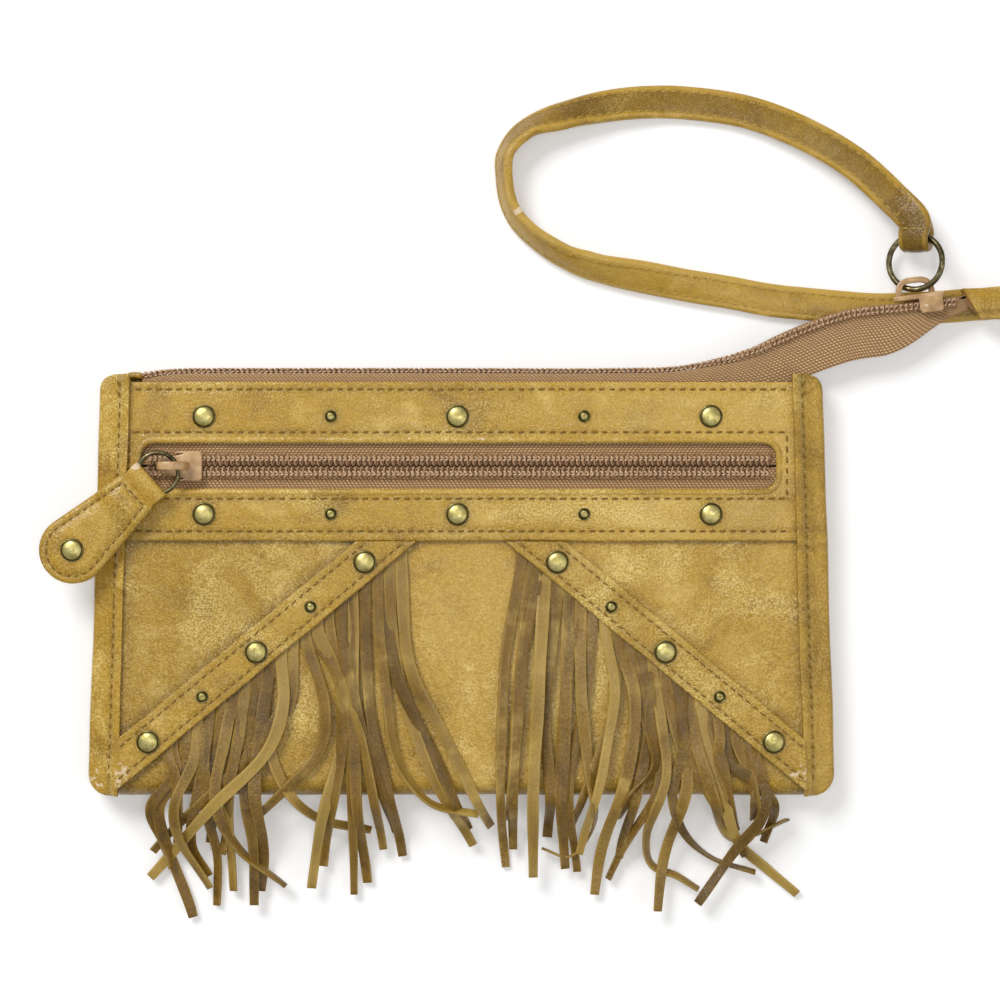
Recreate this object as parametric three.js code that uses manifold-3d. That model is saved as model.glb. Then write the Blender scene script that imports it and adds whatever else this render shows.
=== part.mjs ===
// Fringed leather wristlet bag, lying on its back with its front up.
// Millimetres, +Z up. The origin is the middle of the flat back face, on the table.
// +X runs along the mouth towards the zip's loose end, +Y from the bottom fold to the mouth.

import * as THREE from 'three';
import { mergeVertices } from 'three/addons/utils/BufferGeometryUtils.js';
import Module from 'manifold-3d';

const wasm = await Module();
wasm.setup();

// Bag body
const BODY_HEIGHT = 108.8;
const TOP_HALF_WIDTH = 94.2;
const BOTTOM_HALF_WIDTH = 97.6;
const CORNER_RADIUS = 6;
const LEATHER = 1.1;
const LINING = 0.3;
const SEAM_GAP = 0.3;
const HOLLOW = 4.4;
const POCKET_HOLLOW = 0.9;
const POCKET_FLOOR_Y = -34;
const LINING_FLOOR_Y = -44;

// Side bindings
const BINDING_WIDTH = 8.5;
const BINDING_LEATHER = 1.0;
const BINDING_RISE = 0.8;
const EDGE_LIFT = 1.35;
const EDGE_DROP = 3.6;

// Band with the pocket window
const BAND_BOTTOM_Y = 11.9;
const BAND_INSET = 1.3;
const FRONT_TUCK = 3.6;
const WINDOW_LEFT = -82.9;
const WINDOW_RIGHT = 81.6;
const WINDOW_BOTTOM = 25.4;
const WINDOW_HEIGHT = 11.9;
const WINDOW_RADIUS = 3.5;

// Zips
const TAPE = 0.5;
const POCKET_TAPE_WIDTH = 15;
const POCKET_OVERHANG = 2.2;
const POCKET_LIP = 6.8;
const CHAIN_GAP = 1.0;
const COIL_WIDTH = 2.65;
const COIL_HEIGHT = 1.2;
const COIL_RIB = 0.3;
const COIL_PITCH = 4.8;
const TOP_COIL_WIDTH = 2.15;
const TAIL_WIDTH = 13.2;
const TAIL_END_WIDTH = 3.8;
const MOUTH_FOLD = 10.2;
const COIL_SETBACK = 0.25;
const TAPE_SPREAD = 0.4;

// Pocket slider, its ring and its pull
const SLIDER_LENGTH = 11.6;
const SLIDER_WIDTH = 7.8;
const SLIDER_PLATE = 1.0;
const SLIDER_LEFT_X = -78.5;
const POST_WIDTH = 0.4;
const POST_LENGTH = 2.6;
const POST_SETBACK = 1.1;
const LIP_LENGTH = 7.2;
const BRIDGE_LENGTH = 8.3;
const BRIDGE_WIDTH = 2.2;
const BRIDGE_STRAP = 1.2;
const PULL_CLEARANCE = 12.9;
const PULL_RING_RADIUS = 5.25;
const PULL_WIRE = 0.6;
const PULL_RING_X = -78.0;
const PULL_RING_Y = 29.5;
const PULL_ANGLE = THREE.MathUtils.degToRad(222.1);
const PULL_LEATHER = 0.8;
const TAB_LEATHER = 0.9;
const TAB_SHOULDER = 6.9;
const TAB_END = 29.5;
const TAB_END_RADIUS = 8.7;
const TAB_NECK_HALF = 5.75;
const TAB_RAMP_START = 12.5;
const TAB_RAMP_END = 17;
const NECK_FOLD = 2.0;
const NECK_TAIL = 12;
const NECK_PRESSED = 1.0;

// Top slider and its ring
const TOP_SLIDER_LENGTH = 12.9;
const TOP_SLIDER_X = 119.2;
const TOP_PLATE = 1.4;
const TOP_BLOCK_LENGTH = 6.2;
const TOP_WALL = 0.95;
const ARCH_LENGTH = 10;
const ARCH_HEIGHT = 4.6;
const ARCH_STRAP = 1.2;
const ARCH_WIDTH = 1.6;
const ARCH_SETBACK = 0.6;
const HOOK = 0.6;
const STRAP_RING_RADIUS = 7.15;
const STRAP_WIRE = 0.8;
const STRAP_RING_TILT = THREE.MathUtils.degToRad(26);
const STRAP_RING_LEAN = THREE.MathUtils.degToRad(8);

// Wrist strap and the leather end of the top zip
const STRAP_WIDTH = 8.5;
const STRAP_THICKNESS = 2.2;
const STRAP_FOLD_WIDTH = 7.6;
const STRAP_FOLD_ROOM = 0.35;
const END_TAB_LENGTH = 17;
const END_TAB_WIDTH = 7.8;
const END_TAB_LEATHER = 1.0;
const END_TAB_X = 130.2;
const END_TAB_SLANT = 5;
const END_TAB_FOLD = 1.6;

// Diagonal straps and fringe
const DIAGONAL_WIDTH = 10.2;
const DIAGONAL_LEATHER = 0.9;
const DIAGONAL_EDGE_TOP = 11.7;
const DIAGONAL_SLOPE = THREE.MathUtils.degToRad(39.7);
const FRINGE_LEATHER = 0.6;
const FRINGE_HEADER = 4.2;
const STRAND_WIDTH = 2.7;
const STRAND_PITCH = 3.11;

// Rivets
const BIG_RIVET = 3.0;
const SMALL_RIVET = 1.6;
const RIVET_SEAT = 0.15;
const BAND_RIVET_PITCH = 32.8;
const BAND_RIVET_X = -0.9;
const BAND_RIVET_TOP_Y = 44.2;
const BAND_RIVET_LOW_Y = 18.9;
const DIAGONAL_RIVET_PITCH = 18.2;
const DIAGONAL_RIVET_X = 24.9;
const DIAGONAL_RIVET_Y = 6.5;

// Levels of the layers, worked out from the back face up
const MOUTH_Y = BODY_HEIGHT / 2;
const LINING_Z = LEATHER + SEAM_GAP;
const HOLLOW_Z = LINING_Z + LINING;
const LINING_TOP = HOLLOW_Z + HOLLOW + LINING;
const POCKET_Z = LINING_TOP + SEAM_GAP;
const POCKET_TOP = POCKET_Z + 2 * LINING + POCKET_HOLLOW;
const FRONT_Z = POCKET_TOP + SEAM_GAP;
const FRONT_TOP = FRONT_Z + LEATHER;
const BAND_Z = FRONT_TOP + SEAM_GAP;
const BAND_TOP = BAND_Z + LEATHER;
const BAND_TOP_Y = MOUTH_Y - BAND_INSET;
const CHAIN_Y = WINDOW_BOTTOM + WINDOW_HEIGHT / 2;
const POCKET_TAPE_Z = FRONT_Z + SEAM_GAP;
const POCKET_COIL_Z = POCKET_TAPE_Z + TAPE + SEAM_GAP;
const COIL_TOP = POCKET_COIL_Z + COIL_HEIGHT;
const FRINGE_Z = FRONT_TOP + SEAM_GAP / 2;
const DIAGONAL_Z = FRINGE_Z + FRINGE_LEATHER + SEAM_GAP / 2;
const DIAGONAL_TOP = DIAGONAL_Z + DIAGONAL_LEATHER;

const COLOURS = {
  leather: 0xb8935a,
  strapLeather: 0xa08040,
  lining: 0x6b5238,
  tape: 0xa5795f,
  coil: 0x8c6453,
  slider: 0xc89673,
  rivet: 0xaaa55a,
  ring: 0x5a553c,
};

const FINISHES = {
  rivet: { roughness: 0.35, metalness: 0.9 },
  ring: { roughness: 0.4, metalness: 0.9 },
  slider: { roughness: 0.4, metalness: 0.3 },
};

const bag = new THREE.Group();
bag.name = 'wristlet_bag';

function add(name, shape, colour) {
  const geometry = rightSideOut(shape);
  const finish = FINISHES[colour] ?? { roughness: 0.6, metalness: 0 };
  const material = new THREE.MeshStandardMaterial({ color: COLOURS[colour], ...finish });
  const mesh = new THREE.Mesh(geometry, material);
  mesh.name = name;
  bag.add(mesh);
  return mesh;
}

// Geometry helpers
function welded(geometry) {
  const bare = geometry.clone();
  bare.deleteAttribute('normal');
  bare.deleteAttribute('uv');
  return mergeVertices(bare, 1e-4);
}

// Turns a body's faces outwards where its mapping has mirrored them.
function rightSideOut(geometry) {
  const merged = welded(geometry);
  const points = merged.attributes.position;
  const index = merged.index.array;
  const corner = (i) => new THREE.Vector3().fromBufferAttribute(points, index[i]);
  let volume = 0;
  for (let i = 0; i < index.length; i += 3) {
    volume += corner(i).dot(corner(i + 1).cross(corner(i + 2)));
  }
  if (volume < 0) {
    for (let i = 0; i < index.length; i += 3) [index[i], index[i + 1]] = [index[i + 1], index[i]];
  }
  return merged;
}

function solid(geometry) {
  const merged = rightSideOut(geometry);
  return new wasm.Manifold(new wasm.Mesh({
    numProp: 3,
    vertProperties: new Float32Array(merged.attributes.position.array),
    triVerts: new Uint32Array(merged.index.array),
  }));
}

function geometryOf(manifold) {
  const mesh = manifold.getMesh();
  const geometry = new THREE.BufferGeometry();
  geometry.setAttribute('position', new THREE.BufferAttribute(new Float32Array(mesh.vertProperties), 3));
  geometry.setIndex(new THREE.BufferAttribute(new Uint32Array(mesh.triVerts), 1));
  geometry.computeVertexNormals();
  return geometry;
}

function remap(geometry, place) {
  const points = geometry.attributes.position;
  for (let i = 0; i < points.count; i += 1) {
    const [x, y, z] = place(points.getX(i), points.getY(i), points.getZ(i));
    points.setXYZ(i, x, y, z);
  }
  return geometry;
}

// A flat blank, cut in a grid and bent: u and v run from 0 to 1, side is -1 below and 1 above.
function bent(lengthSteps, widthSteps, place) {
  const blank = new THREE.BoxGeometry(1, 1, 2, lengthSteps, widthSteps, 1);
  return remap(blank, (x, y, z) => place(x + 0.5, y + 0.5, z));
}

function smooth(low, high, value) {
  return THREE.MathUtils.smoothstep(value, low, high);
}

const mix = THREE.MathUtils.lerp;

// Outline of the bag: it widens towards the bottom and its lower corners are round.
function halfWidth(y) {
  return mix(BOTTOM_HALF_WIDTH, TOP_HALF_WIDTH, (y + MOUTH_Y) / BODY_HEIGHT);
}

function cornerInset(y) {
  const rise = THREE.MathUtils.clamp(y + MOUTH_Y, 0, CORNER_RADIUS);
  return CORNER_RADIUS - Math.sqrt(CORNER_RADIUS ** 2 - (CORNER_RADIUS - rise) ** 2);
}

function bindingEdge(y) {
  return halfWidth(y) - BINDING_WIDTH;
}

// The layers thin down inside the bindings: the back rises and the front drops.
function drape(x, y, z) {
  const past = Math.abs(x) - bindingEdge(y);
  const lift = EDGE_LIFT * smooth(-9, -0.5, past);
  const drop = EDGE_DROP * smooth(0, 6, past);
  const share = z / BAND_TOP;
  return z + lift * (1 - share) - drop * share;
}

// Stations across the bag, as shares of the half width, close together where the layers bend.
const SIDE_STATIONS = [0.83, 0.86, 0.89, 0.92, 0.945, 0.965, 0.985, 1];
const STATIONS = [...SIDE_STATIONS.map((share) => -share).reverse(), ...SIDE_STATIONS];

// A profile in the Y-Z plane, run across the bag from side to side.
function across(profile, reach, inset) {
  const shape = new THREE.Shape(profile.map(([y, z]) => new THREE.Vector2(y, z)));
  const steps = STATIONS.length - 1;
  const run = new THREE.ExtrudeGeometry(shape, { depth: steps, steps, bevelEnabled: false });
  return remap(run, (y, z, depth) => {
    const share = STATIONS[Math.round(depth)];
    const x = share * (halfWidth(y) - inset) * reach;
    const corner = Math.sign(share) * cornerInset(y) * Math.abs(share) ** 8;
    return [x - corner, y, drape(x, y, z)];
  });
}

function arc(centreY, centreZ, radius, from, to, steps) {
  const points = [];
  for (let i = 0; i <= steps; i += 1) {
    const angle = mix(from, to, i / steps);
    points.push([centreY + radius * Math.cos(angle), centreZ + radius * Math.sin(angle)]);
  }
  return points;
}

// Body shell: back, bottom fold and lower front in one piece of leather
function bodyShell() {
  const middle = FRONT_TOP / 2;
  const foldY = middle - MOUTH_Y;
  const profile = [
    [MOUTH_Y, 0],
    ...arc(foldY, middle, middle, 1.5 * Math.PI, 0.5 * Math.PI, 10),
    [BAND_BOTTOM_Y + FRONT_TUCK, FRONT_TOP],
    [BAND_BOTTOM_Y + FRONT_TUCK, FRONT_Z],
    ...arc(foldY, middle, middle - LEATHER, 0.5 * Math.PI, 1.5 * Math.PI, 10),
    [MOUTH_Y, LEATHER],
  ];
  return across(profile, 1, BINDING_LEATHER + SEAM_GAP);
}

function mainLining() {
  const middle = (LINING_Z + LINING_TOP) / 2;
  const radius = (LINING_TOP - LINING_Z) / 2;
  const topY = MOUTH_Y - MOUTH_FOLD;
  const profile = [
    [topY, LINING_Z],
    ...arc(LINING_FLOOR_Y, middle, radius, 1.5 * Math.PI, 0.5 * Math.PI, 6),
    [topY, LINING_TOP],
    [topY, LINING_TOP - LINING],
    ...arc(LINING_FLOOR_Y, middle, radius - LINING, 0.5 * Math.PI, 1.5 * Math.PI, 6),
    [topY, HOLLOW_Z],
  ];
  return across(profile, 0.92, 0);
}

// Pocket lining: a flat bag that hangs from the two pocket tapes, open under the chain
function pocketLining() {
  const middle = (POCKET_Z + POCKET_TOP) / 2;
  const radius = (POCKET_TOP - POCKET_Z) / 2;
  const topY = CHAIN_Y + POCKET_TAPE_WIDTH - POCKET_OVERHANG;
  const lowerLip = CHAIN_Y - POCKET_LIP;
  const upperLip = CHAIN_Y + POCKET_LIP;
  const profile = [
    [lowerLip, POCKET_TOP],
    [lowerLip, POCKET_TOP - LINING],
    ...arc(POCKET_FLOOR_Y, middle, radius - LINING, 0.5 * Math.PI, 1.5 * Math.PI, 4),
    ...arc(topY, middle, radius - LINING, -0.5 * Math.PI, 0.5 * Math.PI, 4),
    [upperLip, POCKET_TOP - LINING],
    [upperLip, POCKET_TOP],
    ...arc(topY, middle, radius, 0.5 * Math.PI, -0.5 * Math.PI, 4),
    ...arc(POCKET_FLOOR_Y, middle, radius, 1.5 * Math.PI, 0.5 * Math.PI, 4),
  ];
  return across(profile, 0.88, 0);
}

function roundedWindow(left, right, bottom, top, radius) {
  const shape = new THREE.Shape();
  shape.moveTo(left + radius, bottom);
  shape.lineTo(right - radius, bottom);
  shape.absarc(right - radius, bottom + radius, radius, -0.5 * Math.PI, 0, false);
  shape.absarc(right - radius, top - radius, radius, 0, 0.5 * Math.PI, false);
  shape.absarc(left + radius, top - radius, radius, 0.5 * Math.PI, Math.PI, false);
  shape.absarc(left + radius, bottom + radius, radius, Math.PI, 1.5 * Math.PI, false);
  return shape;
}

function zipBand() {
  const profile = [
    [BAND_BOTTOM_Y, BAND_Z],
    [BAND_TOP_Y, BAND_Z],
    [BAND_TOP_Y, BAND_TOP],
    [BAND_BOTTOM_Y, BAND_TOP],
  ];
  const plate = across(profile, 1, BINDING_LEATHER + SEAM_GAP);
  const windowTop = WINDOW_BOTTOM + WINDOW_HEIGHT;
  const outline = roundedWindow(WINDOW_LEFT, WINDOW_RIGHT, WINDOW_BOTTOM, windowTop, WINDOW_RADIUS);
  const punch = new THREE.ExtrudeGeometry(outline, { depth: 6, curveSegments: 5, bevelEnabled: false });
  punch.translate(0, 0, BAND_Z - 2);
  return geometryOf(solid(plate).subtract(solid(punch)));
}

// A binding is a leather channel folded round the side, following the stack of layers in it.
function stackTop(y) {
  return mix(FRONT_TOP, BAND_TOP, smooth(BAND_BOTTOM_Y - 2.5, BAND_BOTTOM_Y - 0.4, y));
}

function binding(side) {
  const wall = BINDING_LEATHER;
  const flangeSteps = [0, 0.3, 0.55, 0.75];
  const profile = [];
  flangeSteps.forEach((share) => profile.push({ share, level: 'back', skin: 0 }));
  profile.push({ share: 0.93, level: 'back', skin: 0.25 });
  profile.push({ share: 1, level: 'back', skin: 1.6 });
  profile.push({ share: 1, level: 'front', skin: -0.8 });
  profile.push({ share: 0.93, level: 'front', skin: wall });
  [...flangeSteps].reverse().forEach((share) => profile.push({ share, level: 'front', skin: wall }));
  flangeSteps.forEach((share) => profile.push({ share, level: 'front', skin: 0 }));
  const inner = 1 - wall / BINDING_WIDTH;
  profile.push({ share: inner, level: 'front', skin: 0 });
  profile.push({ share: inner, level: 'back', skin: wall });
  [...flangeSteps].reverse().forEach((share) => profile.push({ share, level: 'back', skin: wall }));
  const cornerStations = [0.2, 1.2, 2.8, 5, 8.4].map((rise) => rise - MOUTH_Y);
  const stepStations = [2.5, 1.4, 0.4].map((drop) => BAND_BOTTOM_Y - drop);
  const yStations = [...cornerStations, ...stepStations, MOUTH_Y + BINDING_RISE];
  const count = profile.length;
  const positions = [];
  yStations.forEach((y) => {
    profile.forEach(({ share, level, skin }) => {
      const x = bindingEdge(y) + share * BINDING_WIDTH - cornerInset(y) * share;
      const front = drape(bindingEdge(y) + Math.min(share, inner) * BINDING_WIDTH, y, stackTop(y));
      const z = level === 'back' ? skin : front + SEAM_GAP * 0.8 + skin;
      positions.push(side * x, y, z);
    });
  });
  return tubeOf(positions, count, yStations.length, side < 0);
}

// Joins equal rings of points into one closed body; each end is closed across its ring.
function tubeOf(positions, ringSize, rings, flip) {
  const index = [];
  const face = (a, b, c) => (flip ? index.push(a, c, b) : index.push(a, b, c));
  for (let r = 0; r + 1 < rings; r += 1) {
    for (let i = 0; i < ringSize; i += 1) {
      const next = (i + 1) % ringSize;
      const a = r * ringSize + i;
      const b = r * ringSize + next;
      face(a, a + ringSize, b + ringSize);
      face(a, b + ringSize, b);
    }
  }
  const half = ringSize / 2;
  for (const [start, turned] of [[0, false], [(rings - 1) * ringSize, true]]) {
    for (let i = 0; i + 1 < half; i += 1) {
      const quad = [start + i, start + i + 1, start + ringSize - 2 - i, start + ringSize - 1 - i];
      const [a, b, c, d] = turned ? [quad[1], quad[0], quad[3], quad[2]] : quad;
      face(a, b, c);
      face(a, c, d);
    }
  }
  const geometry = new THREE.BufferGeometry();
  geometry.setAttribute('position', new THREE.Float32BufferAttribute(positions, 3));
  geometry.setIndex(index);
  geometry.computeVertexNormals();
  return geometry;
}

// Pocket zip: two tapes and two coils, with room between them for the slider's post
function pocketTape(side) {
  const width = POCKET_TAPE_WIDTH - CHAIN_GAP / 2;
  const length = WINDOW_RIGHT - WINDOW_LEFT + 3.2;
  const tape = new THREE.BoxGeometry(length, width, TAPE);
  const y = CHAIN_Y + (side * (CHAIN_GAP + width)) / 2;
  return tape.translate((WINDOW_LEFT + WINDOW_RIGHT) / 2, y, POCKET_TAPE_Z + TAPE / 2);
}

function pocketCoil(side) {
  const length = WINDOW_RIGHT - WINDOW_LEFT - 1.6;
  const ribs = 2 * Math.round(length / COIL_PITCH);
  const edge = CHAIN_Y + side * CHAIN_GAP / 2;
  return bent(ribs, 1, (u, v, level) => {
    const ridge = Math.round(u * ribs) % 2 === 0 ? 0 : COIL_RIB;
    const x = WINDOW_LEFT + 0.8 + u * length;
    const across01 = side > 0 ? v : 1 - v;
    const y = edge + side * across01 * (COIL_WIDTH - (across01 > 0.5 ? ridge : 0));
    const z = level < 0 ? POCKET_COIL_Z : COIL_TOP - ridge;
    return [x, y, z];
  });
}

// Flat half-ellipse bridge standing on a plate, drawn in its own plane
function archShape(length, height, strap) {
  const shape = new THREE.Shape();
  shape.moveTo(-length / 2, 0);
  shape.lineTo(-length / 2, height * 0.35);
  shape.quadraticCurveTo(-length / 2, height, -length * 0.2, height);
  shape.lineTo(length * 0.2, height);
  shape.quadraticCurveTo(length / 2, height, length / 2, height * 0.35);
  shape.lineTo(length / 2, 0);
  shape.lineTo(length / 2 - strap, 0);
  shape.lineTo(length / 2 - strap, height * 0.3);
  shape.quadraticCurveTo(length / 2 - strap, height - strap, length * 0.18, height - strap);
  shape.lineTo(-length * 0.18, height - strap);
  shape.quadraticCurveTo(strap - length / 2, height - strap, strap - length / 2, height * 0.3);
  shape.lineTo(strap - length / 2, 0);
  return shape;
}

function roundedPlate(length, width, radius, thickness) {
  const shape = roundedWindow(-length / 2, length / 2, -width / 2, width / 2, radius);
  return new THREE.ExtrudeGeometry(shape, { depth: thickness, curveSegments: 3, bevelEnabled: false });
}

const PULL_RING_Z = PULL_CLEARANCE + PULL_LEATHER + SEAM_GAP + PULL_WIRE;

function pocketSlider() {
  const topZ = COIL_TOP + SEAM_GAP;
  const bottomZ = POCKET_TAPE_Z - SEAM_GAP - SLIDER_PLATE;
  const coilEdge = CHAIN_GAP / 2 + COIL_WIDTH;
  const flange = SLIDER_WIDTH / 2 - coilEdge - SEAM_GAP;
  const top = roundedPlate(SLIDER_LENGTH, SLIDER_WIDTH, 2.2, SLIDER_PLATE).translate(0, 0, topZ);
  const bottom = roundedPlate(SLIDER_LENGTH, SLIDER_WIDTH, 2.2, SLIDER_PLATE).translate(0, 0, bottomZ);
  const postHeight = topZ - bottomZ;
  const post = new THREE.BoxGeometry(POST_LENGTH, POST_WIDTH, postHeight);
  const postX = POST_SETBACK + (POST_LENGTH - SLIDER_LENGTH) / 2;
  post.translate(postX, 0, bottomZ + (SLIDER_PLATE + postHeight) / 2);
  const lipHeight = topZ - POCKET_COIL_Z + SLIDER_PLATE / 2;
  let body = solid(top).add(solid(bottom)).add(solid(post));
  for (const side of [-1, 1]) {
    const lip = new THREE.BoxGeometry(LIP_LENGTH, flange, lipHeight);
    lip.translate(POST_SETBACK, side * (SLIDER_WIDTH - flange) / 2, POCKET_COIL_Z + lipHeight / 2);
    body = body.add(solid(lip));
  }
  const bridgeTop = PULL_RING_Z + PULL_WIRE + 2 * SEAM_GAP + BRIDGE_STRAP;
  const bridgeHeight = bridgeTop - topZ - SLIDER_PLATE / 2;
  const shape = archShape(BRIDGE_LENGTH, bridgeHeight, BRIDGE_STRAP);
  const bridge = new THREE.ExtrudeGeometry(
    shape,
    { depth: BRIDGE_WIDTH, curveSegments: 4, bevelEnabled: false },
  );
  bridge.translate(0, 0, -BRIDGE_WIDTH / 2).rotateX(Math.PI / 2);
  bridge.translate((BRIDGE_LENGTH - SLIDER_LENGTH) / 2, 0, topZ + SLIDER_PLATE / 2);
  body = body.add(solid(bridge));
  return geometryOf(body).translate(SLIDER_LEFT_X + SLIDER_LENGTH / 2, CHAIN_Y, 0);
}

// The pull is laid out along u from the middle of its ring, v across it.
const PULL_U = new THREE.Vector2(Math.cos(PULL_ANGLE), Math.sin(PULL_ANGLE));

function onPull(s, v, z) {
  return [PULL_RING_X + s * PULL_U.x - v * PULL_U.y, PULL_RING_Y + s * PULL_U.y + v * PULL_U.x, z];
}

// Neck: leather folded through the ring, its two tails pressed together inside the tab
function pullNeck() {
  const low = PULL_CLEARANCE;
  const high = PULL_RING_Z + PULL_WIRE + SEAM_GAP;
  const pressed = PULL_CLEARANCE + TAB_LEATHER + SEAM_GAP;
  const eyeStart = NECK_FOLD + PULL_LEATHER;
  const eyeEnd = PULL_RING_RADIUS + PULL_WIRE + 0.25;
  const bottomAt = (s) => mix(low, pressed, smooth(4.8, 6.4, s));
  const topAt = (s) => mix(high + PULL_LEATHER, pressed + NECK_PRESSED, smooth(4.8, 6.4, s));
  const span = [eyeStart, 4.6, 5.4, 6.0, 6.4, 9, NECK_TAIL];
  const outline = [...span].reverse().map((s) => new THREE.Vector2(s, bottomAt(s)));
  outline.push(new THREE.Vector2(NECK_FOLD, low + 0.3));
  outline.push(new THREE.Vector2(NECK_FOLD, high + PULL_LEATHER - 0.3));
  span.forEach((s) => outline.push(new THREE.Vector2(s, topAt(s))));
  const shape = new THREE.Shape(outline);
  const eye = new THREE.Path();
  eye.moveTo(eyeStart, low + PULL_LEATHER);
  eye.lineTo(PULL_RING_RADIUS, low + PULL_LEATHER);
  eye.lineTo(eyeEnd, PULL_RING_Z - 0.5);
  eye.lineTo(eyeEnd, PULL_RING_Z + 0.3);
  eye.lineTo(PULL_RING_RADIUS, high);
  eye.lineTo(eyeStart, high);
  shape.holes.push(eye);
  const run = new THREE.ExtrudeGeometry(shape, { depth: 2, steps: 1, bevelEnabled: false });
  const halfAt = (s) => mix(3.3, TAB_NECK_HALF - 0.4, smooth(3, 7, s));
  return remap(run, (s, z, depth) => onPull(s, (depth - 1) * halfAt(s), z));
}

// Tab outline: straight shoulders that meet a round end
function tabOutline() {
  const shape = new THREE.Shape();
  const turn = Math.asin((TAB_END_RADIUS - TAB_NECK_HALF) / (TAB_END - TAB_SHOULDER));
  shape.moveTo(TAB_SHOULDER, -TAB_NECK_HALF);
  shape.absarc(TAB_END, 0, TAB_END_RADIUS, -0.5 * Math.PI - turn, 0.5 * Math.PI + turn, false);
  shape.lineTo(TAB_SHOULDER, TAB_NECK_HALF);
  return shape;
}

// The front layer lies over the neck's tails at the shoulder and comes down on the back layer.
function pullTabLayer(front) {
  const cut = { depth: TAB_LEATHER, curveSegments: 18, bevelEnabled: false };
  const raw = new THREE.ExtrudeGeometry(tabOutline(), cut);
  if (!front) return remap(raw, (s, v, z) => onPull(s, v, PULL_CLEARANCE + z));
  const flat = PULL_CLEARANCE + TAB_LEATHER + SEAM_GAP;
  const raised = flat + NECK_PRESSED + SEAM_GAP;
  const bends = [0, 0.35, 0.7, 1].map((share) => mix(TAB_RAMP_START, TAB_RAMP_END, share));
  const whole = solid(raw);
  const slabs = [...bends, TAB_END + 2 * TAB_END_RADIUS].map((end, i) => {
    const start = i === 0 ? 0 : bends[i - 1];
    const width = 4 * TAB_END_RADIUS;
    return solid(new THREE.BoxGeometry(end - start, width, 10).translate((end + start) / 2, 0, 0));
  });
  const layer = slabs.map((slab) => whole.intersect(slab)).reduce((body, piece) => body.add(piece));
  const lift = (s) => mix(raised, flat, smooth(TAB_RAMP_START, TAB_RAMP_END, s));
  return remap(geometryOf(layer), (s, v, z) => onPull(s, v, lift(s) + z));
}

function ringGeometry(radius, wire, segments) {
  return new THREE.TorusGeometry(radius, wire, 8, segments);
}

function pocketRing() {
  return ringGeometry(PULL_RING_RADIUS, PULL_WIRE, 24).translate(PULL_RING_X, PULL_RING_Y, PULL_RING_Z);
}

// A domed rivet cap with a thin rim, seated on the leather
function rivetGeometry(radius) {
  const height = radius > 2 ? 1.1 : 0.8;
  const profile = [
    new THREE.Vector2(0, 0),
    new THREE.Vector2(radius, 0),
    new THREE.Vector2(radius, 0.2),
    new THREE.Vector2(radius * 0.84, 0.4),
    new THREE.Vector2(radius * 0.5, height * 0.87),
    new THREE.Vector2(0, height),
  ];
  return new THREE.LatheGeometry(profile, radius > 2 ? 12 : 8).rotateX(Math.PI / 2);
}

function rivet(name, big, x, y, z) {
  const cap = rivetGeometry(big ? BIG_RIVET : SMALL_RIVET);
  const mesh = add(name, cap, 'rivet');
  mesh.position.set(x, y, z + RIVET_SEAT);
}

// Diagonal straps: parallelograms that butt the band above and the binding at the side
function onDiagonal(side, along, inward) {
  const start = new THREE.Vector2(side * DIAGONAL_EDGE_TOP, BAND_BOTTOM_Y - SEAM_GAP);
  const run = new THREE.Vector2(side * Math.cos(DIAGONAL_SLOPE), -Math.sin(DIAGONAL_SLOPE));
  const up = new THREE.Vector2(side * Math.sin(DIAGONAL_SLOPE), Math.cos(DIAGONAL_SLOPE));
  return start.addScaledVector(run, along).addScaledVector(up, inward);
}

function diagonalStrap(side) {
  const blank = new THREE.BoxGeometry(160, DIAGONAL_WIDTH, DIAGONAL_LEATHER);
  const strap = remap(blank, (x, y, z) => {
    const place = onDiagonal(side, x + 50, y + DIAGONAL_WIDTH / 2);
    return [place.x, place.y, DIAGONAL_Z + DIAGONAL_LEATHER / 2 + z];
  });
  const fieldTop = BAND_BOTTOM_Y - SEAM_GAP;
  const field = new THREE.Shape();
  const lowY = 1.5 - MOUTH_Y;
  field.moveTo(0, fieldTop);
  field.lineTo(side * (bindingEdge(fieldTop) - SEAM_GAP), fieldTop);
  field.lineTo(side * (bindingEdge(lowY) - SEAM_GAP), lowY);
  field.lineTo(0, lowY);
  const cutter = new THREE.ExtrudeGeometry(field, { depth: 20, bevelEnabled: false });
  return geometryOf(solid(strap).intersect(solid(cutter)));
}

// Fringe: one comb of leather per side. Each strand has a root along the diagonal and a free
// tip, given as [x, y] with x counted away from the middle of the bag.
const LEFT_TIPS = [
  [-8, -63], [-2, -68], [2, -58], [16, -73], [20, -69], [24, -74], [27, -79], [28, -81], [31, -67],
  [38, -79], [46, -78], [52, -76], [56, -83], [53, -80], [59, -81], [65, -84], [81, -76], [66, -79],
  [71, -86], [76, -73],
];
const RIGHT_TIPS = [
  [12, -74], [15, -68], [19, -75], [22, -68], [27, -70], [30, -76], [33, -71], [35, -81], [39, -76],
  [46, -68], [43, -71], [52, -84], [52, -76], [61, -78], [57, -73], [63, -83], [67, -73], [85, -61],
  [73, -68], [87, -81], [79, -66],
];

// A strand leaves the header level, rides over its neighbours and drops to the table past the fold.
function strandLevel(t, y, tipY, order) {
  const ride = (0.12 + (order % 3) * 0.35) * smooth(0.2, 0.4, t);
  const over = FRINGE_Z + FRINGE_LEATHER / 2 + ride;
  const down = FRINGE_LEATHER / 2 + 0.1 + (order % 2) * 0.8;
  const reach = Math.max(Math.min(20, -MOUTH_Y - tipY - 3), 9);
  return mix(over, down, smooth(0, reach, -MOUTH_Y - 0.2 - y));
}

// Places along a strand, as shares of the way to the bottom fold and of the way past it
const STRAND_ON_BAG = [0, 0.14, 0.38, 0.7, 1];
const STRAND_HANGING = [0.25, 0.52, 0.78, 1];

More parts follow.
